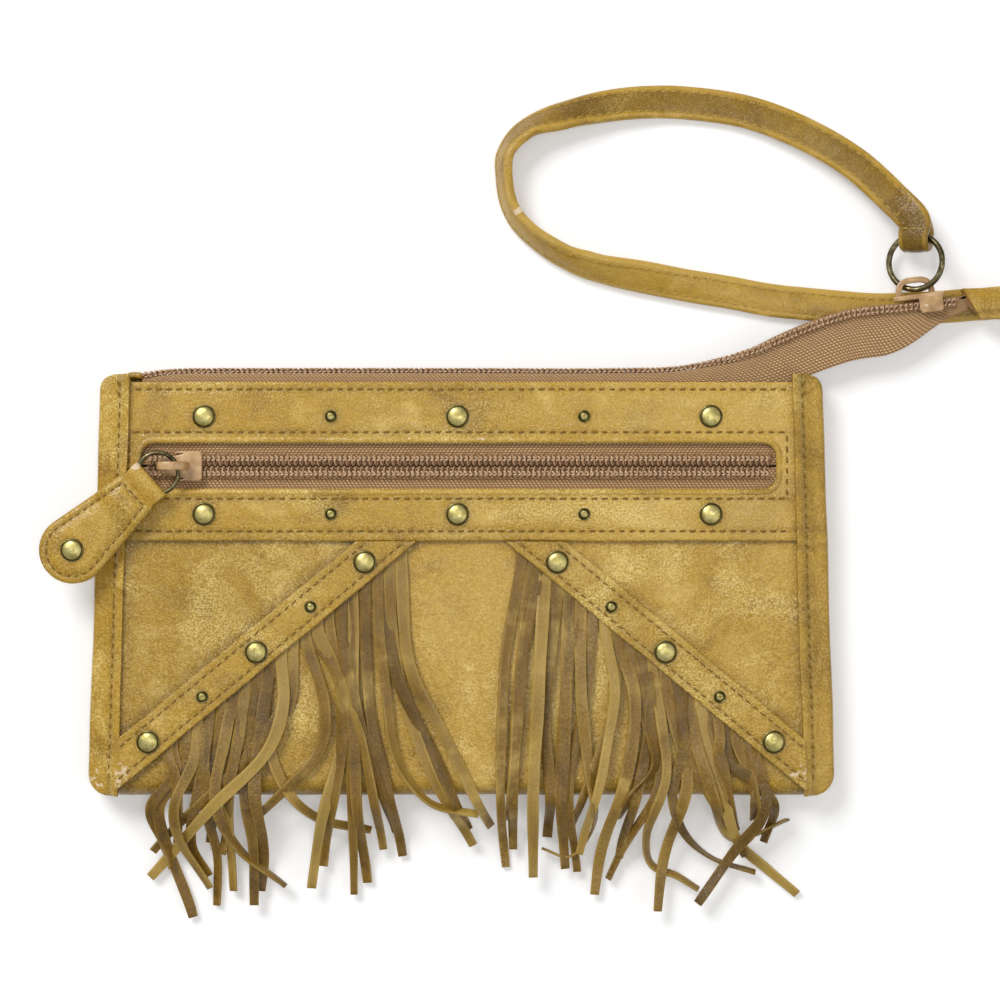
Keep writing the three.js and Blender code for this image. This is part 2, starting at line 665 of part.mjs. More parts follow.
function strand(root, tip, order) {
  const edge = (root.y + MOUTH_Y + 0.2) / (root.y - tip.y);
  const places = [
    ...STRAND_ON_BAG.map((share) => share * edge),
    ...STRAND_HANGING.map((share) => mix(edge, 1, share)),
  ];
  const steps = places.length - 1;
  const sway = 2.4 * Math.sin(order * 2.4);
  const xAt = (t) => mix(root.x, tip.x, t ** 1.35) + sway * Math.sin(Math.PI * t) * t;
  return bent(steps, 1, (u, v, level) => {
    const t = places[Math.round(u * steps)];
    const y = mix(root.y, tip.y, t);
    const before = Math.max(t - 0.02, 0);
    const slope = (xAt(t + 0.02) - xAt(before)) / ((t + 0.02 - before) * (tip.y - root.y));
    const lean = Math.hypot(1, slope);
    const width = mix(STRAND_WIDTH, STRAND_WIDTH * 0.72, t ** 3);
    const offset = (v - 0.5) * width;
    const z = strandLevel(t, y, tip.y, order) + (level * FRINGE_LEATHER) / 2;
    return [xAt(t) + offset / lean, y - (offset * slope) / lean, z];
  });
}

function fringe(side, tips) {
  const length = tips.length * STRAND_PITCH;
  const header = bent(1, 1, (u, v, level) => {
    const along = mix(-0.4, length / Math.cos(DIAGONAL_SLOPE) + 1.5, u);
    const place = onDiagonal(side, along, mix(-0.3, FRINGE_HEADER, v));
    const y = Math.min(place.y, BAND_BOTTOM_Y - SEAM_GAP);
    return [place.x, y, FRINGE_Z + (1 + level) * FRINGE_LEATHER / 2];
  });
  let comb = solid(header);
  tips.forEach(([x, y], order) => {
    const along = ((order + 0.6) * STRAND_PITCH) / Math.cos(DIAGONAL_SLOPE);
    const root = onDiagonal(side, along, 1.6);
    const tip = new THREE.Vector2(side * x, y);
    comb = comb.add(solid(strand(root, tip, order)));
  });
  return geometryOf(comb);
}

// Top zip: the chain runs along the mouth and out into a loose, folded end.
const CHAIN_Z_MOUTH = (LEATHER + BAND_Z) / 2;
const CHAIN_Z_TAIL = 6.2;
const TAIL_START = new THREE.Vector2(101, 72.3);
const TAIL_END = new THREE.Vector2(131.5, 75.8);
const TAIL_ANGLE = Math.atan2(TAIL_END.y - TAIL_START.y, TAIL_END.x - TAIL_START.x);
const MOUTH_CHAIN_Y = MOUTH_Y + 0.6;
const CHAIN_ROUTE = [
  [-83, MOUTH_CHAIN_Y - 0.5, CHAIN_Z_MOUTH],
  [-76, MOUTH_CHAIN_Y, CHAIN_Z_MOUTH],
  [-40, MOUTH_CHAIN_Y + 0.2, CHAIN_Z_MOUTH],
  [0, MOUTH_CHAIN_Y + 0.2, CHAIN_Z_MOUTH],
  [40, MOUTH_CHAIN_Y + 0.2, CHAIN_Z_MOUTH],
  [57, MOUTH_CHAIN_Y + 0.8, CHAIN_Z_MOUTH],
  [66, MOUTH_CHAIN_Y + 3.0, 5.6],
  [75, MOUTH_CHAIN_Y + 6.8, 5.8],
  [83, MOUTH_CHAIN_Y + 10.8, 6.0],
  [92, 69.5, CHAIN_Z_TAIL],
  [TAIL_START.x, TAIL_START.y, CHAIN_Z_TAIL],
  [(TAIL_START.x + TAIL_END.x) / 2, (TAIL_START.y + TAIL_END.y) / 2, CHAIN_Z_TAIL],
  [TAIL_END.x, TAIL_END.y, CHAIN_Z_TAIL],
];
const chainCurve = new THREE.CatmullRomCurve3(
  CHAIN_ROUTE.map(([x, y, z]) => new THREE.Vector3(x, y, z)), false, 'centripetal',
);

// v runs outwards from the fold in the plane of the bag, n up from the middle of the chain.
function chainPlace(t, v, n) {
  const point = chainCurve.getPointAt(t);
  const tangent = chainCurve.getTangentAt(t);
  const length = Math.hypot(tangent.x, tangent.y);
  return [point.x - (v * tangent.y) / length, point.y + (v * tangent.x) / length, point.z + n];
}

function mouthShare(x) {
  return 1 - smooth(56, 86, x) - 0.35 * smooth(72, 83, -x);
}

function tailWidth(x) {
  if (x < 0) return -MOUTH_TAPE[MOUTH_TAPE.length - 1][0];
  return mix(TAIL_WIDTH, TAIL_END_WIDTH, smooth(108, 133, x));
}

// Across the tape: the run beside the chain, the turn, and the part sewn inside the mouth.
const MOUTH_TAPE = [[0, 0.35], [0, 3.2], [-1.6, 3.75], [-4, 3.8], [-7.8, 3.8]];
const TAIL_TAPE = [0, 0.24, 0.45, 0.72, 1];

function tapePoint(x, index, side) {
  const share = mouthShare(x);
  const [mouthV, mouthN] = MOUTH_TAPE[index];
  const tailV = -TAIL_TAPE[index] * tailWidth(x);
  return [mix(tailV, mouthV, share), side * mix(TAPE_SPREAD, mouthN, share)];
}

function topTape(side) {
  const steps = 34;
  const columns = MOUTH_TAPE.length - 1;
  return bent(steps, columns, (u, v, level) => {
    const x = chainCurve.getPointAt(u).x;
    const index = Math.round(v * columns);
    const [here, up] = tapePoint(x, index, side);
    const [v0, n0] = tapePoint(x, Math.max(index - 1, 0), side);
    const [v1, n1] = tapePoint(x, Math.min(index + 1, columns), side);
    const run = Math.hypot(v1 - v0, n1 - n0);
    const half = (level * TAPE) / 2;
    return chainPlace(u, here + (half * (n1 - n0)) / run, up - (half * (v1 - v0)) / run);
  });
}

function topCoil(side) {
  const length = chainCurve.getLength();
  const end = 0.985;
  const ribs = 2 * Math.round((length * end) / COIL_PITCH);
  return bent(ribs, 1, (u, v, level) => {
    const t = u * end;
    const x = chainCurve.getPointAt(t).x;
    const ridge = Math.round(u * ribs) % 2 === 0 ? 0 : COIL_RIB;
    const [v0, n0] = tapePoint(x, 0, 1);
    const [v1, n1] = tapePoint(x, 1, 1);
    const reach = Math.hypot(v1 - v0, n1 - n0);
    const along = [(v1 - v0) / reach, (n1 - n0) / reach];
    const run = COIL_SETBACK + v * (TOP_COIL_WIDTH - (v > 0.5 ? ridge : 0));
    const lift = TAPE / 2 + SEAM_GAP + (level > 0 ? COIL_HEIGHT - ridge : 0);
    const acrossV = v0 + along[0] * run + along[1] * lift;
    const acrossN = n0 + along[1] * run - along[0] * lift;
    return chainPlace(t, acrossV, side * acrossN);
  });
}

// Top slider: a plate over the fold of the chain, a block that grips both coils, and an arch
const TAIL_DIRECTION = new THREE.Vector2(Math.cos(TAIL_ANGLE), Math.sin(TAIL_ANGLE));

function onTail(x) {
  const run = (x - TAIL_START.x) / TAIL_DIRECTION.x;
  return TAIL_START.clone().addScaledVector(TAIL_DIRECTION, run);
}

const TOP_PLATE_V = 0.35;
const TOP_PLATE_TOP = TOP_PLATE_V + TOP_PLATE;
const TAPE_FACE = TAPE_SPREAD + TAPE / 2 + SEAM_GAP;
const COIL_REACH = TAPE_FACE + COIL_HEIGHT;

function topSlider() {
  const inner = COIL_REACH + SEAM_GAP;
  const outer = inner + TOP_WALL;
  const plate = roundedPlate(TOP_SLIDER_LENGTH, 2 * outer, 2.4, TOP_PLATE);
  plate.rotateX(-Math.PI / 2).translate(0, TOP_PLATE_V, 0);
  let body = solid(plate);
  const lipV = COIL_SETBACK + TOP_COIL_WIDTH + SEAM_GAP;
  const blockX = (TOP_SLIDER_LENGTH - TOP_BLOCK_LENGTH) / 2 - ARCH_SETBACK;
  for (const side of [-1, 1]) {
    const wallHeight = TOP_PLATE_V + TOP_PLATE / 2 + lipV + HOOK;
    const wall = new THREE.BoxGeometry(TOP_BLOCK_LENGTH, wallHeight, TOP_WALL);
    wall.translate(blockX, TOP_PLATE_V + TOP_PLATE / 2 - wallHeight / 2, side * (inner + TOP_WALL / 2));
    const hook = new THREE.BoxGeometry(TOP_BLOCK_LENGTH, HOOK, outer - TAPE_FACE);
    hook.translate(blockX, -lipV - HOOK / 2, side * (outer + TAPE_FACE) / 2);
    body = body.add(solid(wall)).add(solid(hook));
  }
  const arch = new THREE.ExtrudeGeometry(
    archShape(ARCH_LENGTH, ARCH_HEIGHT + TOP_PLATE / 2, ARCH_STRAP),
    { depth: ARCH_WIDTH, curveSegments: 5, bevelEnabled: false },
  );
  arch.translate(-ARCH_SETBACK, TOP_PLATE_V + TOP_PLATE / 2, -ARCH_WIDTH / 2);
  body = body.add(solid(arch));
  const place = onTail(TOP_SLIDER_X);
  return geometryOf(body).rotateZ(TAIL_ANGLE).translate(place.x, place.y, CHAIN_Z_TAIL);
}

// The strap ring hangs in the arch, turned across it so that it passes the two legs.
const RING_ROOT = onTail(TOP_SLIDER_X - ARCH_SETBACK);
const RING_FLOAT = TOP_PLATE_TOP + 2 * SEAM_GAP + STRAP_WIRE;
const RING_TURN = TAIL_ANGLE - STRAP_RING_LEAN;
const RING_DIRECTION = new THREE.Vector2(-Math.sin(RING_TURN), Math.cos(RING_TURN));
const RING_CROSSING = RING_ROOT.clone()
  .add(new THREE.Vector2(-TAIL_DIRECTION.y, TAIL_DIRECTION.x).multiplyScalar(RING_FLOAT));
const RING_CENTRE = RING_CROSSING.clone().addScaledVector(RING_DIRECTION, STRAP_RING_RADIUS);

function strapRing() {
  const ring = ringGeometry(STRAP_RING_RADIUS, STRAP_WIRE, 28);
  ring.rotateY(-STRAP_RING_TILT).rotateZ(RING_TURN);
  return ring.translate(RING_CENTRE.x, RING_CENTRE.y, CHAIN_Z_TAIL);
}

// Wrist strap: from under the zip's end, round the loop, to its fold in the ring.
// Each place is [x, y, turn], the turn in degrees about the strap's own length.
const STRAP_ROUTE = [
  [144, 74.3, 0], [138, 74.1, 0], [132, 73.7, 0], [124, 73.1, 0], [108.6, 72.6, 0], [90.5, 74.1, 0],
  [82.2, 74.9, 0], [65.8, 77.8, 0], [49.2, 80.6, 3], [34.2, 83.7, 12], [26.4, 86.6, 26],
  [17.4, 92.8, 46], [13, 98.5, 56], [11.2, 107, 58], [11.6, 113.3, 54], [16.8, 119.5, 40],
  [26.7, 123.2, 22], [40.2, 126.2, 8], [56, 127, 0], [74.6, 124.4, 0], [89.2, 118.7, 0],
  [103.4, 109.9, 0], [112, 101.5, 0],
];
const STRAP_END_LEVEL = 2.85;

const STRAP_RISE = [1.8, 3.2, 5.2, 6.8];
const STRAP_FOLD_LIFT = 3.6;
const STRAP_FOLD_SETBACK = 0.9;
const STRAP_STEPS = 52;

// Height of the middle of the strap when it rests on the table, turned about its own length
function strapRest(sideways, thicknesswise) {
  return (STRAP_WIDTH / 2) * sideways + (STRAP_THICKNESS / 2) * thicknesswise + 0.05;
}

function strapLevel(index, turn) {
  if (index === 0) return STRAP_END_LEVEL;
  if (index === 1) return STRAP_END_LEVEL - 0.1;
  const rise = STRAP_RISE[index - (STRAP_ROUTE.length - STRAP_RISE.length)];
  const angle = THREE.MathUtils.degToRad(Math.abs(turn));
  return rise ?? strapRest(Math.sin(angle), Math.cos(angle));
}

function strapFrames() {
  const sideways = new THREE.Vector3(
    Math.cos(STRAP_RING_TILT) * Math.cos(RING_TURN),
    Math.cos(STRAP_RING_TILT) * Math.sin(RING_TURN),
    Math.sin(STRAP_RING_TILT),
  );
  const outwards = new THREE.Vector3(RING_DIRECTION.x, RING_DIRECTION.y, 0);
  const normal = new THREE.Vector3().crossVectors(sideways, outwards).normalize();
  const top = new THREE.Vector3(RING_CENTRE.x, RING_CENTRE.y, CHAIN_Z_TAIL)
    .addScaledVector(outwards, STRAP_RING_RADIUS);
  const bend = STRAP_WIRE + SEAM_GAP + STRAP_FOLD_ROOM + STRAP_THICKNESS / 2;
  const points = STRAP_ROUTE.map(([x, y, turn], i) => new THREE.Vector3(x, y, strapLevel(i, turn)));
  const turns = STRAP_ROUTE.map(([, , turn]) => turn);
  const over = top.clone().addScaledVector(normal, bend);
  points.push(over.clone().addScaledVector(outwards, STRAP_FOLD_LIFT));
  points.push(over.clone().addScaledVector(outwards, -STRAP_FOLD_SETBACK));
  turns.push(-20, -THREE.MathUtils.radToDeg(STRAP_RING_TILT));
  const curve = new THREE.CatmullRomCurve3(points, false, 'centripetal');
  const frames = [];
  for (let i = 0; i <= STRAP_STEPS; i += 1) {
    const t = i / STRAP_STEPS;
    const point = curve.getPoint(t);
    const tangent = curve.getTangent(t);
    const place = t * (turns.length - 1);
    const low = Math.min(Math.floor(place), turns.length - 2);
    const turn = THREE.MathUtils.degToRad(mix(turns[low], turns[low + 1], place - low));
    const flat = new THREE.Vector3().crossVectors(tangent, new THREE.Vector3(0, 0, 1)).normalize();
    const up = new THREE.Vector3().crossVectors(flat, tangent).normalize();
    const side = flat.clone().multiplyScalar(Math.cos(turn)).addScaledVector(up, Math.sin(turn));
    const face = new THREE.Vector3().crossVectors(side, tangent).normalize();
    point.z = Math.max(point.z, strapRest(Math.abs(side.z), Math.abs(face.z)));
    frames.push({ point, side, face, half: STRAP_WIDTH / 2 });
  }
  const last = frames[frames.length - 1];
  last.side = sideways.clone().multiplyScalar(-1);
  last.face = normal.clone();
  last.half = STRAP_FOLD_WIDTH / 2;
  const turnCentre = top.clone().addScaledVector(outwards, -STRAP_FOLD_SETBACK);
  for (const degrees of [30, 60, 90, 120, 150, 180]) {
    const angle = THREE.MathUtils.degToRad(degrees);
    const face = normal.clone().multiplyScalar(Math.cos(angle)).addScaledVector(outwards, -Math.sin(angle));
    const point = turnCentre.clone().addScaledVector(face, bend);
    frames.push({ point, side: last.side.clone(), face, half: STRAP_FOLD_WIDTH / 2 });
  }
  const tailGaps = [2 * bend, STRAP_THICKNESS + 1, STRAP_THICKNESS + SEAM_GAP];
  tailGaps.forEach((apart, i) => {
    const main = frames[STRAP_STEPS - 1 - i];
    const point = main.point.clone().addScaledVector(main.face, -apart);
    const face = main.face.clone().negate();
    frames.push({ point, side: main.side.clone(), face, half: STRAP_FOLD_WIDTH / 2 });
  });
  return frames;
}

function wristStrap() {
  const frames = strapFrames();
  return bent(frames.length - 1, 1, (u, v, level) => {
    const { point, side, face, half } = frames[Math.round(u * (frames.length - 1))];
    const place = point.clone()
      .addScaledVector(side, (0.5 - v) * 2 * half)
      .addScaledVector(face, (level * STRAP_THICKNESS) / 2);
    return place.toArray();
  });
}

// Leather end of the top zip: folded over the ends of the two tapes, cut on the slant
function zipEndTab() {
  const low = CHAIN_Z_TAIL - TAPE_FACE - END_TAB_LEATHER;
  const high = CHAIN_Z_TAIL + TAPE_FACE + END_TAB_LEATHER;
  const shape = new THREE.Shape();
  const end = END_TAB_LENGTH;
  shape.moveTo(0, low);
  shape.lineTo(end - END_TAB_FOLD, low);
  shape.quadraticCurveTo(end, low, end, low + END_TAB_FOLD);
  shape.lineTo(end, high - END_TAB_FOLD);
  shape.quadraticCurveTo(end, high, end - END_TAB_FOLD, high);
  shape.lineTo(0, high);
  shape.lineTo(0, high - END_TAB_LEATHER);
  shape.lineTo(end - END_TAB_FOLD, high - END_TAB_LEATHER);
  shape.lineTo(end - END_TAB_LEATHER, (low + high) / 2);
  shape.lineTo(end - END_TAB_FOLD, low + END_TAB_LEATHER);
  shape.lineTo(0, low + END_TAB_LEATHER);
  const run = new THREE.ExtrudeGeometry(shape, { depth: 1, steps: 1, curveSegments: 3, bevelEnabled: false });
  const start = onTail(END_TAB_X);
  return remap(run, (x, z, depth) => {
    const slant = (1 - depth) * END_TAB_SLANT * (1 - x / END_TAB_LENGTH);
    return [start.x + x + slant, start.y + 1.9 - (1 - depth) * END_TAB_WIDTH, z];
  });
}

add('body_shell', bodyShell(), 'leather');
add('zip_band', zipBand(), 'leather');
add('left_binding', binding(-1), 'leather');
add('right_binding', binding(1), 'leather');
add('left_diagonal_strap', diagonalStrap(-1), 'leather');
add('right_diagonal_strap', diagonalStrap(1), 'leather');
add('left_fringe', fringe(-1, LEFT_TIPS), 'leather');
add('right_fringe', fringe(1, RIGHT_TIPS), 'leather');
add('main_lining', mainLining(), 'lining');
add('pocket_lining', pocketLining(), 'lining');
add('pocket_upper_tape', pocketTape(1), 'tape');
add('pocket_lower_tape', pocketTape(-1), 'tape');
add('pocket_upper_coil', pocketCoil(1), 'coil');
add('pocket_lower_coil', pocketCoil(-1), 'coil');
add('pocket_slider', pocketSlider(), 'slider');
add('pocket_ring', pocketRing(), 'ring');
add('pull_neck', pullNeck(), 'leather');
add('pull_tab_back', pullTabLayer(false), 'leather');
add('pull_tab_front', pullTabLayer(true), 'leather');
add('top_front_tape', topTape(1), 'tape');
add('top_back_tape', topTape(-1), 'tape');
add('top_front_coil', topCoil(1), 'coil');
add('top_back_coil', topCoil(-1), 'coil');
add('top_slider', topSlider(), 'slider');
add('strap_ring', strapRing(), 'ring');
add('wrist_strap', wristStrap(), 'strapLeather');
add('zip_end_tab', zipEndTab(), 'strapLeather');

for (let k = -2; k <= 2; k += 1) {
  const x = BAND_RIVET_X + k * BAND_RIVET_PITCH;
  rivet(`band_top_rivet_${k + 3}`, k % 2 === 0, x, BAND_RIVET_TOP_Y, BAND_TOP);
  rivet(`band_low_rivet_${k + 3}`, k % 2 === 0, x, BAND_RIVET_LOW_Y, BAND_TOP);
}

for (const side of [-1, 1]) {
  const word = side < 0 ? 'left' : 'right';
  for (let k = 0; k < 5; k += 1) {
    const x = side * (DIAGONAL_RIVET_X + k * DIAGONAL_RIVET_PITCH * Math.cos(DIAGONAL_SLOPE));
    const y = DIAGONAL_RIVET_Y - k * DIAGONAL_RIVET_PITCH * Math.sin(DIAGONAL_SLOPE);
    rivet(`${word}_diagonal_rivet_${k + 1}`, k % 2 === 0, x, y, DIAGONAL_TOP);
  }
}

const [tabRivetX, tabRivetY] = onPull(TAB_END, 0, 0);
rivet('pull_rivet', true, tabRivetX, tabRivetY, PULL_CLEARANCE + 2 * TAB_LEATHER + SEAM_GAP);

export default bag;
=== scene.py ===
import math
from random import Random

import bpy
from bpy.props import FloatProperty, FloatVectorProperty, IntProperty, PointerProperty
from bpy.types import Operator, Panel, PropertyGroup
from mathutils import Matrix, Vector, noise


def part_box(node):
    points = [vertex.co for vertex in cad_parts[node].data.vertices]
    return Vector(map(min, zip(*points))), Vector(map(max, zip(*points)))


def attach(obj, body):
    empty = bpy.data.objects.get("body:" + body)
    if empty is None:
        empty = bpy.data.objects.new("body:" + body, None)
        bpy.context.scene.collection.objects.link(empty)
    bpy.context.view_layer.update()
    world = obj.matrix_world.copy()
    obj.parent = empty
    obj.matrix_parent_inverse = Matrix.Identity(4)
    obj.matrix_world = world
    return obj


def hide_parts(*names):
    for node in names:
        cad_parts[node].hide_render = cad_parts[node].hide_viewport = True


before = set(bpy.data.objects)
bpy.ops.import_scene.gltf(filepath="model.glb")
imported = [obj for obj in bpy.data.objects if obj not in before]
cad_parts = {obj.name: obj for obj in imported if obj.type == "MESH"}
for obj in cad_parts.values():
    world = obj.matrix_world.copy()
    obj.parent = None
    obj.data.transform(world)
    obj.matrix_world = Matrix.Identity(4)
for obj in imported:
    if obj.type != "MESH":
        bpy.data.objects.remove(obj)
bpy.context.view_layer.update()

bl_info = {
    "name": "Fringed Leather Wristlet",
    "version": (1, 0, 0),
    "blender": (4, 5, 0),
    "location": "3D Viewport > Sidebar > Wristlet",
    "description": "Leather, zips, rivets, fringe and wrist strap of a small flat bag",
    "category": "Object",
}

# Lengths below are in millimetres, in the bag's own frame; MM turns them into metres.
MM = 0.001


def node_box(name):
    """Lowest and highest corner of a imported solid, in millimetres."""
    low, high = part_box(name)
    return low / MM, high / MM


SHELL_LOW, SHELL_HIGH = node_box("body_shell")
BAND_LOW, BAND_HIGH = node_box("zip_band")
LINING_LOW, LINING_HIGH = node_box("main_lining")
POCKET_LOW, POCKET_HIGH = node_box("pocket_lining")
SLIDER_LOW, SLIDER_HIGH = node_box("pocket_slider")
RING_LOW, RING_HIGH = node_box("pocket_ring")
UPPER_TAPE_LOW, UPPER_TAPE_HIGH = node_box("pocket_upper_tape")
UPPER_COIL_LOW, UPPER_COIL_HIGH = node_box("pocket_upper_coil")
LOWER_COIL_LOW, LOWER_COIL_HIGH = node_box("pocket_lower_coil")
TAB_LOW, TAB_HIGH = node_box("pull_tab_back")

# Body outline and its levels
MOUTH_Y = SHELL_HIGH.y
FRONT_TOP = SHELL_HIGH.z
BAND_BOTTOM_Y = BAND_LOW.y
BAND_TOP_Y = BAND_HIGH.y
BAND_TOP = BAND_HIGH.z
BODY_HEIGHT = 2 * MOUTH_Y
TOP_HALF_WIDTH = 94.2
BOTTOM_HALF_WIDTH = 97.6
CORNER_RADIUS = 6.0
LEATHER = 1.1
SEAM_GAP = 0.3
BINDING_WIDTH = 8.5
BINDING_LEATHER = 1.0
BINDING_RISE = 0.8
EDGE_LIFT = 1.35
EDGE_DROP = 3.6

# Pocket window and its zip
WINDOW_LEFT = -82.9
WINDOW_RIGHT = 81.6
WINDOW_BOTTOM = 25.4
WINDOW_TOP = 37.3
WINDOW_RADIUS = 3.5
CHAIN_Y = (WINDOW_BOTTOM + WINDOW_TOP) / 2
TOOTH_PITCH = 1.5
COIL_WIRE = 0.3

# Stitch rows of the band: beside its upper edge, above and below the window, beside its lower edge
BAND_ROWS = (51.2, 40.1, 22.9, 14.5)
BAND_COLUMNS = (WINDOW_LEFT - 3.0, WINDOW_RIGHT + 2.8)

# Diagonal straps
DIAGONAL_WIDTH = 10.2
DIAGONAL_LEATHER = 0.9
DIAGONAL_START_X = 11.7
DIAGONAL_SLOPE = math.radians(39.7)
DIAGONAL_SEAM = 2.0
DIAGONAL_ROWS = (DIAGONAL_SEAM, DIAGONAL_WIDTH - DIAGONAL_SEAM)
FRINGE_LEATHER = 0.6

# Rivets
BIG_RIVET = 3.0
SMALL_RIVET = 1.6
BAND_RIVET_ROWS = {"top": 44.2, "low": 18.9}
BAND_RIVET_MIDDLE = -0.9
BAND_RIVET_PITCH = 32.8
STRAP_RIVET_START = (24.9, 6.5)
STRAP_RIVET_PITCH = 18.2
RIVETS_IN_A_ROW = 5


def smooth(low, high, value):
    t = clamp((value - low) / (high - low))
    return t * t * (3 - 2 * t)


def mix(a, b, t):
    return a + (b - a) * t


def bump_at(distance, width):
    return math.exp(-(distance / width) ** 2)


def squared(value, power):
    """A sine or cosine raised to a power with its sign kept, which squares an oval's corners."""
    return math.copysign(abs(value) ** power, value)


def clamp(value):
    return min(max(value, 0.0), 1.0)


def hand(side):
    return "left" if side < 0 else "right"


def relief(x, y, scale, seed=0.0):
    """Smooth noise from -1 to 1 with hills about one scale apart."""
    return noise.noise(Vector((x / scale, y / scale, seed)))


# Outline of the bag
def half_width(y):
    return mix(BOTTOM_HALF_WIDTH, TOP_HALF_WIDTH, (y + MOUTH_Y) / BODY_HEIGHT)


def corner_inset(y):
    rise = min(max(y + MOUTH_Y, 0.0), CORNER_RADIUS)
    return CORNER_RADIUS - math.sqrt(CORNER_RADIUS ** 2 - (CORNER_RADIUS - rise) ** 2)


def binding_edge(y):
    return half_width(y) - BINDING_WIDTH


def drape(x, y, z):
    past = abs(x) - binding_edge(y)
    lift = EDGE_LIFT * smooth(-9, -0.5, past)
    drop = EDGE_DROP * smooth(0, 6, past)
    share = z / BAND_TOP
    return z + lift * (1 - share) - drop * share


def stack_top(y):
    return mix(FRONT_TOP, BAND_TOP, smooth(BAND_BOTTOM_Y - 2.5, BAND_BOTTOM_Y - 0.4, y))


def diagonal_at(side, along, inward):
    """A point along a diagonal strap from its upper end, and across it from its inner edge."""
    x = DIAGONAL_START_X + along * math.cos(DIAGONAL_SLOPE) + inward * math.sin(DIAGONAL_SLOPE)
    y = inward * math.cos(DIAGONAL_SLOPE) - along * math.sin(DIAGONAL_SLOPE)
    y += BAND_BOTTOM_Y - SEAM_GAP
    return side * x, y


def diagonal_across(x, y):
    """Distance from the inner edge of the nearer diagonal strap, across it."""
    dx = abs(x) - DIAGONAL_START_X
    dy = y - (BAND_BOTTOM_Y - SEAM_GAP)
    return dx * math.sin(DIAGONAL_SLOPE) + dy * math.cos(DIAGONAL_SLOPE)


# Outer faces of the soft layers
def front_face(x, y):
    """Level of the lower front, which swells a little between its seams."""
    swell = 0.22 * relief(x, y, 26, 1.5) + 0.12 * relief(x, y, 9, 4.0)
    across = diagonal_across(x, y)
    near_strap = bump_at(min(abs(across + 1.2), abs(across - DIAGONAL_WIDTH - 1.2)), 2.6)
    crease = 0.10 * math.sin(x * 0.9 + y * 0.35 + 3 * relief(x, y, 12)) * near_strap
    calm = 1 - smooth(-2.5, 0.5, abs(x) - binding_edge(y))
    return drape(x, y, FRONT_TOP) + (swell + crease - 0.1) * calm


def band_face(x, y):
    """Level of the band: swollen between its stitch rows, pressed down along them."""
    swell = 0.20 * relief(x, y, 22, 8.0) + 0.09 * relief(x, y, 6, 2.0)
    groove = 0.0
    for row in BAND_ROWS:
        groove += 0.22 * bump_at(y - row, 0.7)
    for column in BAND_COLUMNS:
        if WINDOW_BOTTOM - 3 < y < WINDOW_TOP + 3:
            groove += 0.2 * bump_at(x - column, 0.7)
    hem = 0.25 * smooth(2.6, 0.2, y - BAND_BOTTOM_Y) + 0.2 * smooth(2.4, 0.3, BAND_TOP_Y - y)
    calm = 1 - smooth(-2.5, 0.5, abs(x) - binding_edge(y))
    return drape(x, y, BAND_TOP) + (swell - groove) * calm - 0.5 * hem


def strap_face(x, y):
    """Top of a diagonal strap, which lies over the fringe's header on the front."""
    across = diagonal_across(x, y)
    groove = 0.14 * sum(bump_at(across - seam, 0.6) for seam in DIAGONAL_ROWS)
    crown = 0.12 * math.sin(math.pi * clamp(across / DIAGONAL_WIDTH))
    return front_face(x, y) + FRINGE_LEATHER + DIAGONAL_LEATHER + SEAM_GAP + crown - groove


# Mesh tools
def clear_selection():
    if bpy.context.object and bpy.context.object.mode != "OBJECT":
        bpy.ops.object.mode_set(mode="OBJECT")
    bpy.ops.object.select_all(action="DESELECT")


def pick(obj):
    clear_selection()
    obj.select_set(True)
    bpy.context.view_layer.objects.active = obj
    return obj


def apply_modifiers(obj):
    pick(obj)
    for modifier in list(obj.modifiers):
        bpy.ops.object.modifier_apply(modifier=modifier.name)
    return obj


def settle(obj):
    """Applies the object's place, so that it lies at the origin with its place in its mesh."""
    pick(obj)
    bpy.ops.object.transform_apply(location=True, rotation=True, scale=True)
    return obj


def blank(name, columns, rows):
    """A flat cut piece: a grid whose corners run from 0 to 1 both ways."""
    clear_selection()
    bpy.ops.mesh.primitive_grid_add(x_subdivisions=columns, y_subdivisions=rows, size=1)
    obj = bpy.context.object
    obj.name = name
    obj.data.name = name
    for vertex in obj.data.vertices:
        vertex.co.x += 0.5
        vertex.co.y += 0.5
    return obj


def paint(obj, layer, value):
    """Writes a number for each vertex, from its place in millimetres."""
    attribute = obj.data.attributes.get(layer) or obj.data.attributes.new(layer, "FLOAT", "POINT")
    for vertex, item in zip(obj.data.vertices, attribute.data):
        item.value = value(vertex.co / MM)
    return obj


def lay_out(obj, place, length, width):
    """Moves each point of a blank to its place; its UV map keeps the flat piece's millimetres."""
    uv = obj.data.uv_layers.active.data
    for loop in obj.data.loops:
        u, v, _ = obj.data.vertices[loop.vertex_index].co
        uv[loop.index].uv = (u * length * MM, v * width * MM)
    for vertex in obj.data.vertices:
        u, v, _ = vertex.co
        vertex.co = Vector(place(u, v)) * MM
    return obj


def profile_place(v, legs):
    """A place on the profile of a folded sheet, at a share v of its rows.

    Each leg is the share at its end, its two ends, and how far it bulges: 0 for a straight leg, or
    the reach of a half turn, whose two ends lie above each other.
    """
    begin = 0.0
    for end, (y0, z0), (y1, z1), bulge in legs:
        if v < end or end == 1:
            break
        begin = end
    share = (v - begin) / (end - begin)
    if not bulge:
        return mix(y0, y1, share), z0
    angle = math.pi * share
    return y0 + bulge * math.sin(angle), (z0 + z1) / 2 + (z0 - z1) / 2 * math.cos(angle)


